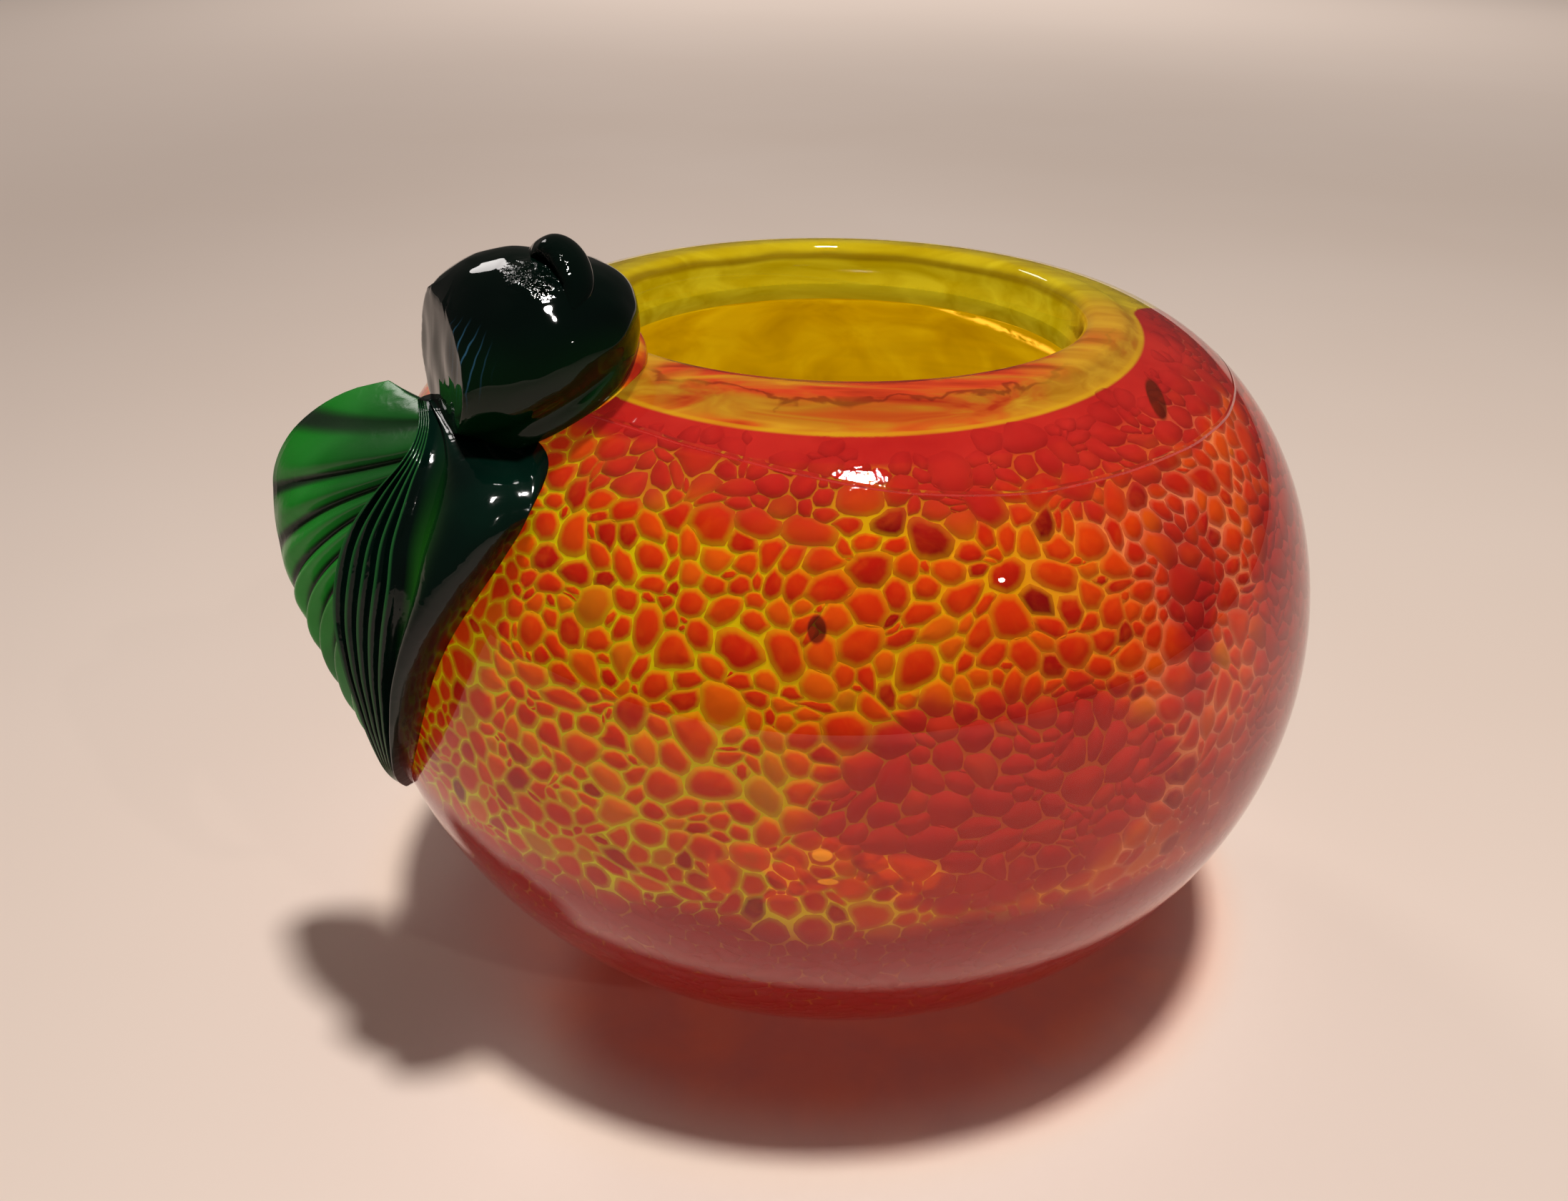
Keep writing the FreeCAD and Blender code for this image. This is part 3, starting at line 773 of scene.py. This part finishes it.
def half_of(mesh, name, upper):
    """The chips of the upper or of the lower half, so that neither piece is too heavy."""
    half = mesh.copy()
    half.name = name
    shaped = bmesh.new()
    shaped.from_mesh(half)
    shaped.faces.ensure_lookup_table()
    seen = set()
    dropped = []
    for start in shaped.faces:
        if start in seen:
            continue
        chip = [start]
        seen.add(start)
        for face in chip:
            for edge in face.edges:
                for other in edge.link_faces:
                    if other not in seen:
                        seen.add(other)
                        chip.append(other)
        level = sum(face.calc_center_median().z for face in chip) / len(chip)
        if (level > EQUATOR) != upper:
            dropped.extend(chip)
    bmesh.ops.delete(shaped, geom=dropped, context="FACES")
    shaped.to_mesh(half)
    shaped.free()
    return half


for half_name, upper in (("red_chips_upper", True), ("red_chips_lower", False)):
    half = new_piece(half_name, half_of(chips_mesh, half_name, upper), [])
    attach(half, "root")
    if upper:
        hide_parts("red_chip_layer")
    half.data.calc_loop_triangles()
    print(half_name, len(half.data.loop_triangles), "triangles")

# %% [markdown]
# ## Clear casing
# The last gather is colourless and nearly 5 mm thick. It magnifies the chips, it makes the rim look like
# a band of liquid, and it takes all of the gloss. The mesh is one closed skin: the outside, the lip,
# and a hidden inner wall that dips a little into the lining, so no air lies between the two. A shadow
# ray sees it as plain clear, because a path tracer finds no lamp through curved glass.

# %% Clear glass material
CLEAR_TINT = (1.0, 0.99, 0.97)
BUBBLES_MIDDLE = (0.0005, -0.0470, 0.0885)
paint = Paint("clear_casing_glass")
place = paint.place()
paint.set(Base_Color=CLEAR_TINT, Roughness=0.0, IOR=1.43, Transmission_Weight=1.0)
veil = paint.value("ShaderNodeBsdfTransparent", {"Color": CLEAR_TINT})
in_shadow = paint.value("ShaderNodeLightPath", output="Is Shadow Ray")
glass = Value(paint, paint.shader.outputs[0])
mixed = paint.value("ShaderNodeMixShader", {0: in_shadow, 1: glass, 2: veil})
paint.link(mixed, paint.output.inputs["Surface"])
ripple = place.noise(60.0, 2.0)
# The gather laps over its own edge on the shoulder, along a line that falls to the right
lap_level = place.axis("X").steps(-0.028, 0.022, 0.0893, 0.0856) + ripple * 0.0006
lap = abs(place.axis("Z") - lap_level).steps(0.00022, 0.0)
# Tiny bubbles lie close under the skin of the front shoulder and break up the highlight
bubbles = place.noise(1500.0, 2.0) * place.far_from(BUBBLES_MIDDLE).steps(0.0080, 0.0030)
paint.bump(ripple * 0.05 + lap * 0.45 + bubbles * 0.030, 1.0, 0.0008)
casing_material = paint.material

# %% Casing mesh
HIDDEN = 0.3 * MM
outer_side = [(0.0, 0.0)] + [outside_ring(s) for s in steps(-1.0, 1.0, 128)]
lip = [
    (CREST - LIP_ROUND * math.sin(t), HEIGHT - LIP_ROUND * (1 - math.cos(t)))
    for t in steps(0.0, math.pi / 2, 8)[1:]
]
hidden_side = [inside_ring(s, LINING_IN + HIDDEN, LINING_LOW + HIDDEN) for s in steps(1.0, -1.0, 64)]
hidden_side[-1] = (0.0, LINING_LOW + HIDDEN)
hidden_side[0] = (MOUTH, HEIGHT - LINING_IN - HIDDEN)
hidden_side[1] = (CREST + 0.3 * MM, HEIGHT - LINING_IN - HIDDEN)
casing_mesh = turned_mesh("clear_casing", outer_side + lip + hidden_side, 256)
clear_casing = new_piece("clear_casing_shell", casing_mesh, [casing_material])
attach(clear_casing, "root")
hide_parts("clear_casing")
print("casing:", len(casing_mesh.polygons), "faces")

# %% [markdown]
# ## Sculpted pieces
# The stem and the leaf are free forms. Each is a skin over a list of closed sections, and the sections
# come from a few listed values with a smooth curve through them. That keeps the form editable: a
# single number moves a whole part of the skin without a dent.

# %% Smooth values and skins
def smooth_at(rows, where):
    """Values at `where` on a smooth curve through rows of (place, value, value, ...)."""
    places = [row[0] for row in rows]
    where = min(max(where, places[0]), places[-1])
    i = max(0, min(len(rows) - 2, int(np.searchsorted(places, where, side="right")) - 1))
    width = places[i + 1] - places[i]
    before = rows[max(i - 1, 0)]
    after = rows[min(i + 2, len(rows) - 1)]
    t = (where - places[i]) / width
    t2, t3 = t * t, t * t * t
    found = []
    for k in range(1, len(rows[0])):
        a, b = rows[i][k], rows[i + 1][k]
        slope_a = (b - before[k]) / (places[i + 1] - before[0]) * width
        slope_b = (after[k] - a) / (after[0] - places[i]) * width
        start = (2 * t3 - 3 * t2 + 1) * a + (t3 - 2 * t2 + t) * slope_a
        found.append(start + (3 * t2 - 2 * t3) * b + (t3 - t2) * slope_b)
    return found


def closed_mesh(name, vertices, faces):
    """A mesh without doubled points, whose faces look outward."""
    mesh = bpy.data.meshes.new(name)
    mesh.from_pydata(vertices, [], faces)
    shaped = bmesh.new()
    shaped.from_mesh(mesh)
    bmesh.ops.remove_doubles(shaped, verts=shaped.verts, dist=0.000002)
    bmesh.ops.recalc_face_normals(shaped, faces=shaped.faces)
    shaped.to_mesh(mesh)
    shaped.free()
    return mesh


def band(row, after, count):
    """The faces between two sections."""
    turns = [(k, (k + 1) % count) for k in range(count)]
    return [(row * count + k, row * count + j, after * count + j, after * count + k) for k, j in turns]


def skin_mesh(name, sections, ring=False):
    """A closed skin over sections of equal length: a ring, or a lump that a fan caps at each end."""
    count, last = len(sections[0]), len(sections) - 1
    vertices = [point for section in sections for point in section]
    faces = [face for row in range(last) for face in band(row, row + 1, count)]
    if ring:
        return closed_mesh(name, vertices, faces + band(last, 0, count))
    for row, turned in ((0, True), (last, False)):
        vertices.append(sum((Vector(p) for p in sections[row]), Vector()) / count)
        for k in range(count):
            j = (k + 1) % count
            ends = (row * count + j, row * count + k) if turned else (row * count + k, row * count + j)
            faces.append((*ends, len(vertices) - 1))
    return closed_mesh(name, vertices, faces)


def body_radius_at(level):
    if level < EQUATOR:
        return BODY_RADIUS * math.sqrt(max(0.0, 1 - ((EQUATOR - level) / LOWER_DEPTH) ** 2))
    rise = min(1.0, (level - EQUATOR) / (HEIGHT - EQUATOR))
    return CREST + (BODY_RADIUS - CREST) * math.sqrt(1 - rise * rise)


def lay_on_body(point, lift=0.03 * MM):
    """A point that would sink into the bowl is brought back to its surface."""
    radius = math.hypot(point.x, point.y)
    if point.z < EQUATOR:
        wide, tall, middle = BODY_RADIUS, LOWER_DEPTH, 0.0
    else:
        wide, tall, middle = BODY_RADIUS - CREST, HEIGHT - EQUATOR, CREST
    out = max((radius - middle) / wide, 0.0)
    up = (point.z - EQUATOR) / tall
    far = math.hypot(out, up)
    if far >= 1.0 + lift / wide or far < 1e-6:
        return point
    grow = (1.0 + lift / wide) / far
    new_radius = middle + out * grow * wide if radius > middle else radius
    return Vector((point.x * new_radius / radius, point.y * new_radius / radius, EQUATOR + up * grow * tall))


def hump(value, middle, half):
    return math.exp(-(((value - middle) / half) ** 2))


def around(azimuth, radius, level=0.0):
    turn = math.radians(azimuth)
    return Vector((radius * math.cos(turn), radius * math.sin(turn), level))


# %% [markdown]
# ## Stem
# The stem is a blob of dark green glass, pressed down so that its foot rolled out into a rim, and then
# flattened on the left with a paddle. The sections are circles whose middles wander, the paddle's flat
# is a plane that stops every point, and the rim is a swelling with a crease over it.

# %% Green glass of the stem
CORD_WAY = (0.85, -0.5, 0.0)
CORD_TURNS = 5600.0
CORD_SWAY = 13.0
CORD_MIDDLE = (-0.0445, -0.0385, 0.0965)
CHILL_MIDDLE = (-0.0345, -0.0300, 0.1040)
paint = Paint("dark_green_glass")
place = paint.place()
green = place.noise(45.0, 2.0, 0.3).ramp((0.3, 1, 8, 6), (0.6, 2, 16, 9), (0.8, 3, 30, 13))
# The lower part takes some light from the bowl, most of all at the right
lit = place.axis("Z").steps(0.100, 0.090) * place.axis("X").steps(-0.036, -0.024).steps(0.0, 1.0, 0.35, 1.0)
green = blend(lit * 0.7, green, srgb(6, 62, 20))
# Thin bluish cords run down the front, and a rough patch glints beside the curl
across = place.vector("DOT_PRODUCT", CORD_WAY, "Value") * CORD_TURNS
corded = (across + place.noise(160.0, 2.0, 0.2) * CORD_SWAY).math("SINE").steps(0.82, 0.99)
green = blend(corded * place.far_from(CORD_MIDDLE).steps(0.0068, 0.0030), green, srgb(38, 74, 96))
paint.set(Base_Color=green, Roughness=0.03, IOR=1.33)
crackle = place.far_from(CHILL_MIDDLE).steps(0.0048, 0.0018) * place.noise(900.0, 3.0, 0.3)
ripples = place.noise(260.0, 1.0, 0.6, stretch=(1.0, 1.0, 0.25)) * 0.12
paint.bump(ripples + crackle, 0.9, 0.0006)
stem_material = paint.material

# %% Stem mesh
STEM_BASE = around(-147.0, 42.43 * MM, 91.0 * MM)
STEM_LEAN = math.radians(30.0)
STEM_OUT = around(-147.0, 1.0)
STEM_SIDE = around(-57.0, 1.0)
STEM_X = STEM_OUT * math.cos(STEM_LEAN) - Vector((0, 0, math.sin(STEM_LEAN)))
STEM_Z = STEM_OUT * math.sin(STEM_LEAN) + Vector((0, 0, math.cos(STEM_LEAN)))
# Level, radius, shift outward and shift to the side, in mm
STEM_RINGS = [
    (-6.0, 7.6, 1.2, 3.0),
    (-3.0, 9.4, 0.96, 2.9),
    (0.0, 11.5, 0.04, 2.36),
    (3.0, 12.7, -0.55, 2.02),
    (6.5, 12.6, 0.13, 1.76),
    (10.0, 10.7, 1.5, 1.31),
    (12.5, 7.8, 1.45, 0.3),
    (14.0, 4.8, 1.22, -1.0),
    (14.8, 1.5, 1.0, -1.6),
]
# The corner that the paddle pushed up: level and swelling in mm
STEM_CORNER = [(-6.0, 0.0), (0.0, 1.2), (4.0, 2.8), (8.0, 4.2), (11.0, 4.9), (13.0, 3.0), (14.8, 0.0)]
CORNER_TURN = math.radians(-8.0)
# The rolled rim and the crease over it: level, half height and swelling in mm
RIM = [(-0.6, 1.6, 0.7), (2.0, 1.0, -0.45)]
# The rim is strongest towards the front, and this share of it is left behind
RIM_TURN = math.radians(50.0)
RIM_LEAST = 0.25
FLAT_TILT = math.radians(5.0)
FLAT_WAY = around(-155.0, math.cos(FLAT_TILT), math.sin(FLAT_TILT))
FLAT_REACH = 12.3 * MM
FLAT_CUT = 0.97
# Depth and reach of the dent beside the flat, and depth of the ripples, in mm
DENT_DEPTH = 0.35
DENT_REACH = 0.8
RIPPLE_DEPTH = 0.22
RIPPLE_FINENESS = 260.0


def stem_point(level, turn):
    radius, out, side = smooth_at(STEM_RINGS, level)
    rim = sum(swelling * hump(level, middle, half) for middle, half, swelling in RIM)
    rim *= RIM_LEAST + (1 - RIM_LEAST) * max(0.0, math.cos(turn - RIM_TURN))
    swell = smooth_at(STEM_CORNER, level)[0] * max(0.0, math.cos(turn - CORNER_TURN)) ** 2
    radius = (radius + rim + swell) * MM
    x = radius * math.cos(turn) + out * MM
    y = radius * math.sin(turn) + side * MM
    point = STEM_BASE + STEM_X * x + STEM_SIDE * y + STEM_Z * level * MM
    beyond = (point - STEM_BASE).dot(FLAT_WAY) - FLAT_REACH
    if beyond > 0:
        point -= FLAT_WAY * (beyond * FLAT_CUT)
    else:
        point -= FLAT_WAY * DENT_DEPTH * MM * math.exp(beyond / (DENT_REACH * MM))
    ripple = noise.noise(point * RIPPLE_FINENESS)
    point += (point - STEM_BASE).normalized() * ripple * RIPPLE_DEPTH * MM
    return lay_on_body(point)


stem_sections = [[stem_point(level, turn) for turn in circle(128)] for level in steps(-6.0, 14.8, 72)]
stem_mesh = skin_mesh("stem", stem_sections)
stem = new_piece("stem_lump", stem_mesh, [stem_material])
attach(stem, "root")
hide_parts("stem_knob")
print("stem:", len(stem_mesh.polygons), "faces")

# %% [markdown]
# ## Curl
# A tongue of the same glass was drawn off over the top of the stem and folded down on it. Its middle
# line runs over the dome and dips into it at both ends, and an oval swells and shrinks along it.

# %% Curl mesh
# Share of the way, place of the middle in mm, half width and half height in mm
CURL_ROWS = [
    (0.00, -36.6, -24.6, 103.6, 1.0, 0.7),
    (0.20, -35.2, -24.6, 105.0, 2.0, 1.2),
    (0.42, -33.2, -25.3, 105.6, 2.5, 1.5),
    (0.62, -31.2, -27.2, 104.6, 2.4, 1.5),
    (0.82, -29.9, -30.2, 102.5, 1.9, 1.2),
    (1.00, -30.2, -33.0, 100.2, 0.9, 0.7),
]
DOME_MIDDLE = STEM_BASE + STEM_Z * 3.0 * MM


def curl_middle(share):
    return Vector(smooth_at(CURL_ROWS, share)[:3]) * MM


def curl_section(share):
    middle = curl_middle(share)
    along = (curl_middle(min(share + 0.02, 1.0)) - curl_middle(max(share - 0.02, 0.0))).normalized()
    up = (middle - DOME_MIDDLE).normalized()
    across = along.cross(up).normalized()
    wide, tall = (value * MM for value in smooth_at(CURL_ROWS, share)[3:])
    return [middle + across * (wide * math.cos(t)) + up * (tall * math.sin(t)) for t in circle(32)]


curl_mesh = skin_mesh("curl", [curl_section(share) for share in steps(0.0, 1.0, 48)])
curl = new_piece("stem_curl_fold", curl_mesh, [stem_material])
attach(curl, "root")
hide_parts("stem_curl")

# %% [markdown]
# ## Leaf
# The leaf was pressed in a ribbed mould and folded in two. The near half lies on the apple with ribs
# running down to the tip. The far half stands free behind it, with pleats that slant out from the fold
# and end in scallops. Both halves are skins whose sections hang from the line where the leaf touches
# the apple, so they follow its curve.

# %% Leaf outline
LEAF_TOP = 88.1 * MM
LEAF_LENGTH = 50.8 * MM
LEAF_WIDTH = 40.0 * MM
LEAF_THICK = 6.0 * MM
LEAF_FACE = around(-125.0, 1.0)
LEAF_ACROSS = around(-215.0, 1.0)
LEAF_ROOT_TURN = -129.5
LEAF_TIP_TURN = -150.5
# Drop, inner edge, outer edge, first rib, fold, sweep and depth, as shares
LEAF_ROWS = [
    (0.00, 0.46, 0.74, 0.16, 0.30, 0.00, 0.45),
    (0.03, 0.24, 0.85, 0.25, 0.33, 0.00, 0.75),
    (0.08, 0.03, 0.94, 0.32, 0.41, 0.00, 1.00),
    (0.14, -0.03, 0.99, 0.31, 0.46, 0.00, 1.08),
    (0.22, -0.02, 0.98, 0.27, 0.49, 0.02, 1.10),
    (0.30, 0.00, 0.90, 0.22, 0.51, 0.07, 1.05),
    (0.41, 0.00, 0.75, 0.17, 0.50, 0.20, 1.00),
    (0.52, 0.00, 0.58, 0.14, 0.47, 0.31, 0.93),
    (0.64, 0.00, 0.40, 0.13, 0.45, 0.41, 0.80),
    (0.78, 0.00, 0.22, 0.14, 0.46, 0.57, 0.60),
    (0.91, 0.00, 0.10, 0.17, 0.50, 0.80, 0.38),
    (1.00, 0.00, 0.05, 0.20, 0.55, 1.00, 0.20),
]


def leaf_point(row, drop, wide, deep):
    inner, outer, _, _, sweep, depth = row
    level = LEAF_TOP - drop * LEAF_LENGTH
    turn = LEAF_ROOT_TURN + (LEAF_TIP_TURN - LEAF_ROOT_TURN) * sweep
    contact = around(turn, body_radius_at(level), level)
    along = (inner + (outer - inner) * wide) * LEAF_WIDTH
    return contact + LEAF_ACROSS * along + LEAF_FACE * (deep * depth * LEAF_THICK)


# %% Leaf glass
LEAF_ROOT = (-0.0520, -0.0330, 0.0860)
paint = Paint("leaf_green_glass")
place = paint.place()
lobe, ridge, window = (paint.attribute(name) for name in ("lobe", "ridge", "window"))
cloud = place.noise(70.0, 2.0, 0.4)
# The far lobe is bright between its grooves, milky towards the tip and darker towards the thick root
bright = cloud.ramp((0.3, 8, 74, 12), (0.5, 14, 98, 20), (0.75, 32, 112, 36))
bright = blend(place.axis("Z").steps(0.066, 0.046) * 0.7, bright, srgb(74, 118, 74))
far_lobe = blend(ridge.steps(0.04, 0.42), cloud.ramp((0.3, 8, 30, 12), (0.7, 34, 48, 34)), bright)
far_lobe = blend(place.far_from(LEAF_ROOT).steps(0.020, 0.004, 0.0, 0.8), far_lobe, srgb(20, 52, 24))
# The near half is almost black, with a green window beside the ribs and a green line on each
near_lobe = blend(window, cloud.ramp((0.3, 1, 10, 8), (0.7, 3, 26, 18)), srgb(26, 82, 16))
near_lobe = blend(ridge.steps(0.80, 0.98), near_lobe, srgb(34, 92, 44))
leaf_colour = blend(lobe, near_lobe, far_lobe)
# The ridges of the far lobe and the window get light of their own: a painted glow of light through the green
# glass
paint.set(
    Base_Color=leaf_colour,
    Roughness=lobe * 0.16 + 0.09,
    IOR=1.38,
    Emission_Color=blend(most(ridge.steps(0.1, 0.5) * lobe, window), (0.0, 0.0, 0.0), leaf_colour),
    Emission_Strength=0.40,
)
paint.bump(place.noise(420.0, 2.0, 0.5), 0.22, 0.0004)
leaf_material = paint.material

# %% Near half of the leaf
PAD_SHARES = [(0.0, 0.10), (0.10, 0.72), (0.36, 1.02), (0.66, 0.88), (0.84, 0.58), (1.0, 0.60)]
RIBS = 5
# Middle and half size of the green window, along the drop and across the pad
WINDOW_DROP = (0.30, 0.16)
WINDOW_ACROSS = (0.78, 0.20)


def near_section(drop):
    """The points of one section, and at each of them its ridge, lobe and window for the paint."""
    row = smooth_at(LEAF_ROWS, drop)
    first, fold = row[2], row[3]
    pad, ribbed = steps(0.0, 1.0, 18)[:-1], steps(0.0, 1.0, 40)
    waves = [0.5 - 0.5 * math.cos(2 * math.pi * RIBS * step) for step in ribbed]
    spots = [(first * step, smooth_at(PAD_SHARES, step)[0]) for step in pad]
    spots += [(first + (fold - first) * step, 0.72 + 0.24 * wave) for step, wave in zip(ribbed, waves)]
    spots += [(fold + 0.012, 0.62), (fold + 0.016, 0.42), (fold + 0.010, 0.15), (fold, -0.04)]
    spots += [(fold * 0.6, -0.10), (fold * 0.25, -0.30), (0.0, -0.60)]
    shown = hump(drop, *WINDOW_DROP)
    windows = [shown * hump(step, *WINDOW_ACROSS) for step in pad]
    points = [lay_on_body(leaf_point(row, drop, wide, deep)) for wide, deep in spots]
    values = ([0.0] * len(pad) + waves, [], windows)
    return points, *(kept + [0.0] * (len(points) - len(kept)) for kept in values)


def leaf_half(name, rows):
    mesh = skin_mesh(name, [row[0] for row in rows])
    for index, value_name in enumerate(("ridge", "lobe", "window"), 1):
        values = [value for row in rows for value in row[index]]
        values += [0.0] * (len(mesh.vertices) - len(values))
        layer = mesh.attributes.new(value_name, "FLOAT", "POINT")
        layer.data.foreach_set("value", values[: len(mesh.vertices)])
    return mesh


near_mesh = leaf_half("leaf_near", [near_section(drop) for drop in steps(0.0, 1.0, 110)])

# %% Far half of the leaf
# Drop at the fold and at the edge for each pleat, from the top down
PLEAT_DROPS = [
    *((0.02, 0.00), (0.03, 0.19), (0.06, 0.31), (0.10, 0.42), (0.15, 0.515), (0.21, 0.60)),
    *((0.29, 0.68), (0.39, 0.755), (0.50, 0.82), (0.63, 0.885), (0.79, 0.94), (0.985, 0.995)),
]
PLEATS = [(float(index), *drops) for index, drops in enumerate(PLEAT_DROPS)]
# Notches between the scallops grow over these pleats to their full depth
NOTCH_START = 3.0
NOTCH_GROWTH = 2.0
NOTCH_DEPTH = 1.5 * MM
BACK_DEPTH = -0.08
# Share of the way out, and depth of the front on a ridge and in a groove
FRONT_ROWS = [(0.0, 0.50, 0.26), (0.3, 0.50, 0.22), (0.6, 0.46, 0.20), (0.85, 0.36, 0.16), (1.0, 0.10, 0.04)]


def far_section(index):
    start, end = smooth_at(PLEATS, index)
    root = smooth_at(LEAF_ROWS, start)[3] * 0.8
    wave = 0.5 + 0.5 * math.cos(2 * math.pi * index)
    sharp = wave ** 0.7
    notch = NOTCH_DEPTH * (1 - wave) ** 2 * min(1.0, max(0.0, (index - NOTCH_START) / NOTCH_GROWTH))
    front, back = [], []
    for step in steps(0.0, 1.0, 24):
        drop = start + (end - start) * step
        row = smooth_at(LEAF_ROWS, drop)
        top, vein = smooth_at(FRONT_ROWS, step)
        wide = root + (1.0 - root) * step
        pull = LEAF_ACROSS * (notch * step ** 3)
        edge = math.sqrt(max(0.0, 1 - step ** 6))
        deep = (vein + (top - vein) * sharp) * (0.35 + 0.65 * edge) * min(1.0, 0.25 + 2.5 * index)
        front.append(leaf_point(row, drop, wide, deep) - pull)
        back.append(leaf_point(row, drop, wide, BACK_DEPTH * edge) - pull)
    points = [lay_on_body(p) for p in front + back[::-1]]
    return points, *([value] * len(points) for value in (sharp, 1.0, 0.0))


far_mesh = leaf_half("leaf_far", [far_section(index) for index in steps(0.0, 11.0, 176)])
leaf_near = new_piece("leaf_near_half", near_mesh, [leaf_material])
leaf_far = new_piece("leaf_far_half", far_mesh, [leaf_material])
for half in (leaf_near, leaf_far):
    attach(half, "root")
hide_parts("ribbed_leaf")
print("leaf:", len(near_mesh.polygons) + len(far_mesh.polygons), "faces")

# %% [markdown]
# ## Join
# A bit of clear glass was squeezed out between the stem and the shoulder. It shows as a low bead round
# the stem's foot that takes the yellow and the red of the bowl below it, so here it is painted in those
# colours. The bead is a ring of small sections that follow the stem's own middle, and each point that
# would sink is laid on the bowl.

# %% Join finish
paint = Paint("amber_join_glass")
blush = paint.place().noise(180.0, 2.0, 0.4)
amber = blush.ramp((0.35, 150, 30, 8), (0.50, 190, 80, 12), (0.64, 196, 160, 24))
paint.set(
    Base_Color=amber,
    Roughness=0.03,
    IOR=1.5,
    Coat_Weight=0.5,
    Emission_Color=amber,
    Emission_Strength=0.12,
)
join_material = paint.material

# %% Join mesh
# In mm: radius of the ring and of the bead, level of its middle and half its height, and shift outward
BEAD_RING = 10.2
BEAD_RADIUS = 1.8
BEAD_LEVEL = -1.9
BEAD_RISE = 1.5
BEAD_OUT = 0.4
# Mean fullness of the bead, and how much it swings
BEAD_FULLNESS = 0.75
BEAD_SWING = 0.35


def bead_section(turn):
    fullness = BEAD_FULLNESS + BEAD_SWING * noise.noise(Vector((math.cos(turn) * 2, math.sin(turn) * 2, 4.0)))
    section = []
    for angle in circle(20):
        level = BEAD_LEVEL + BEAD_RISE * math.sin(angle)
        side = smooth_at(STEM_RINGS, level)[2]
        radius = BEAD_RING + BEAD_RADIUS * fullness * math.cos(angle)
        x = (radius * math.cos(turn) + BEAD_OUT) * MM
        y = (radius * math.sin(turn) + side) * MM
        section.append(lay_on_body(STEM_BASE + STEM_X * x + STEM_SIDE * y + STEM_Z * level * MM))
    return section


join_mesh = skin_mesh("join", [bead_section(turn) for turn in circle(120)], ring=True)
join = new_piece("amber_join_bead", join_mesh, [join_material])
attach(join, "root")
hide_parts("clear_join")
print("join:", len(join_mesh.polygons), "faces")
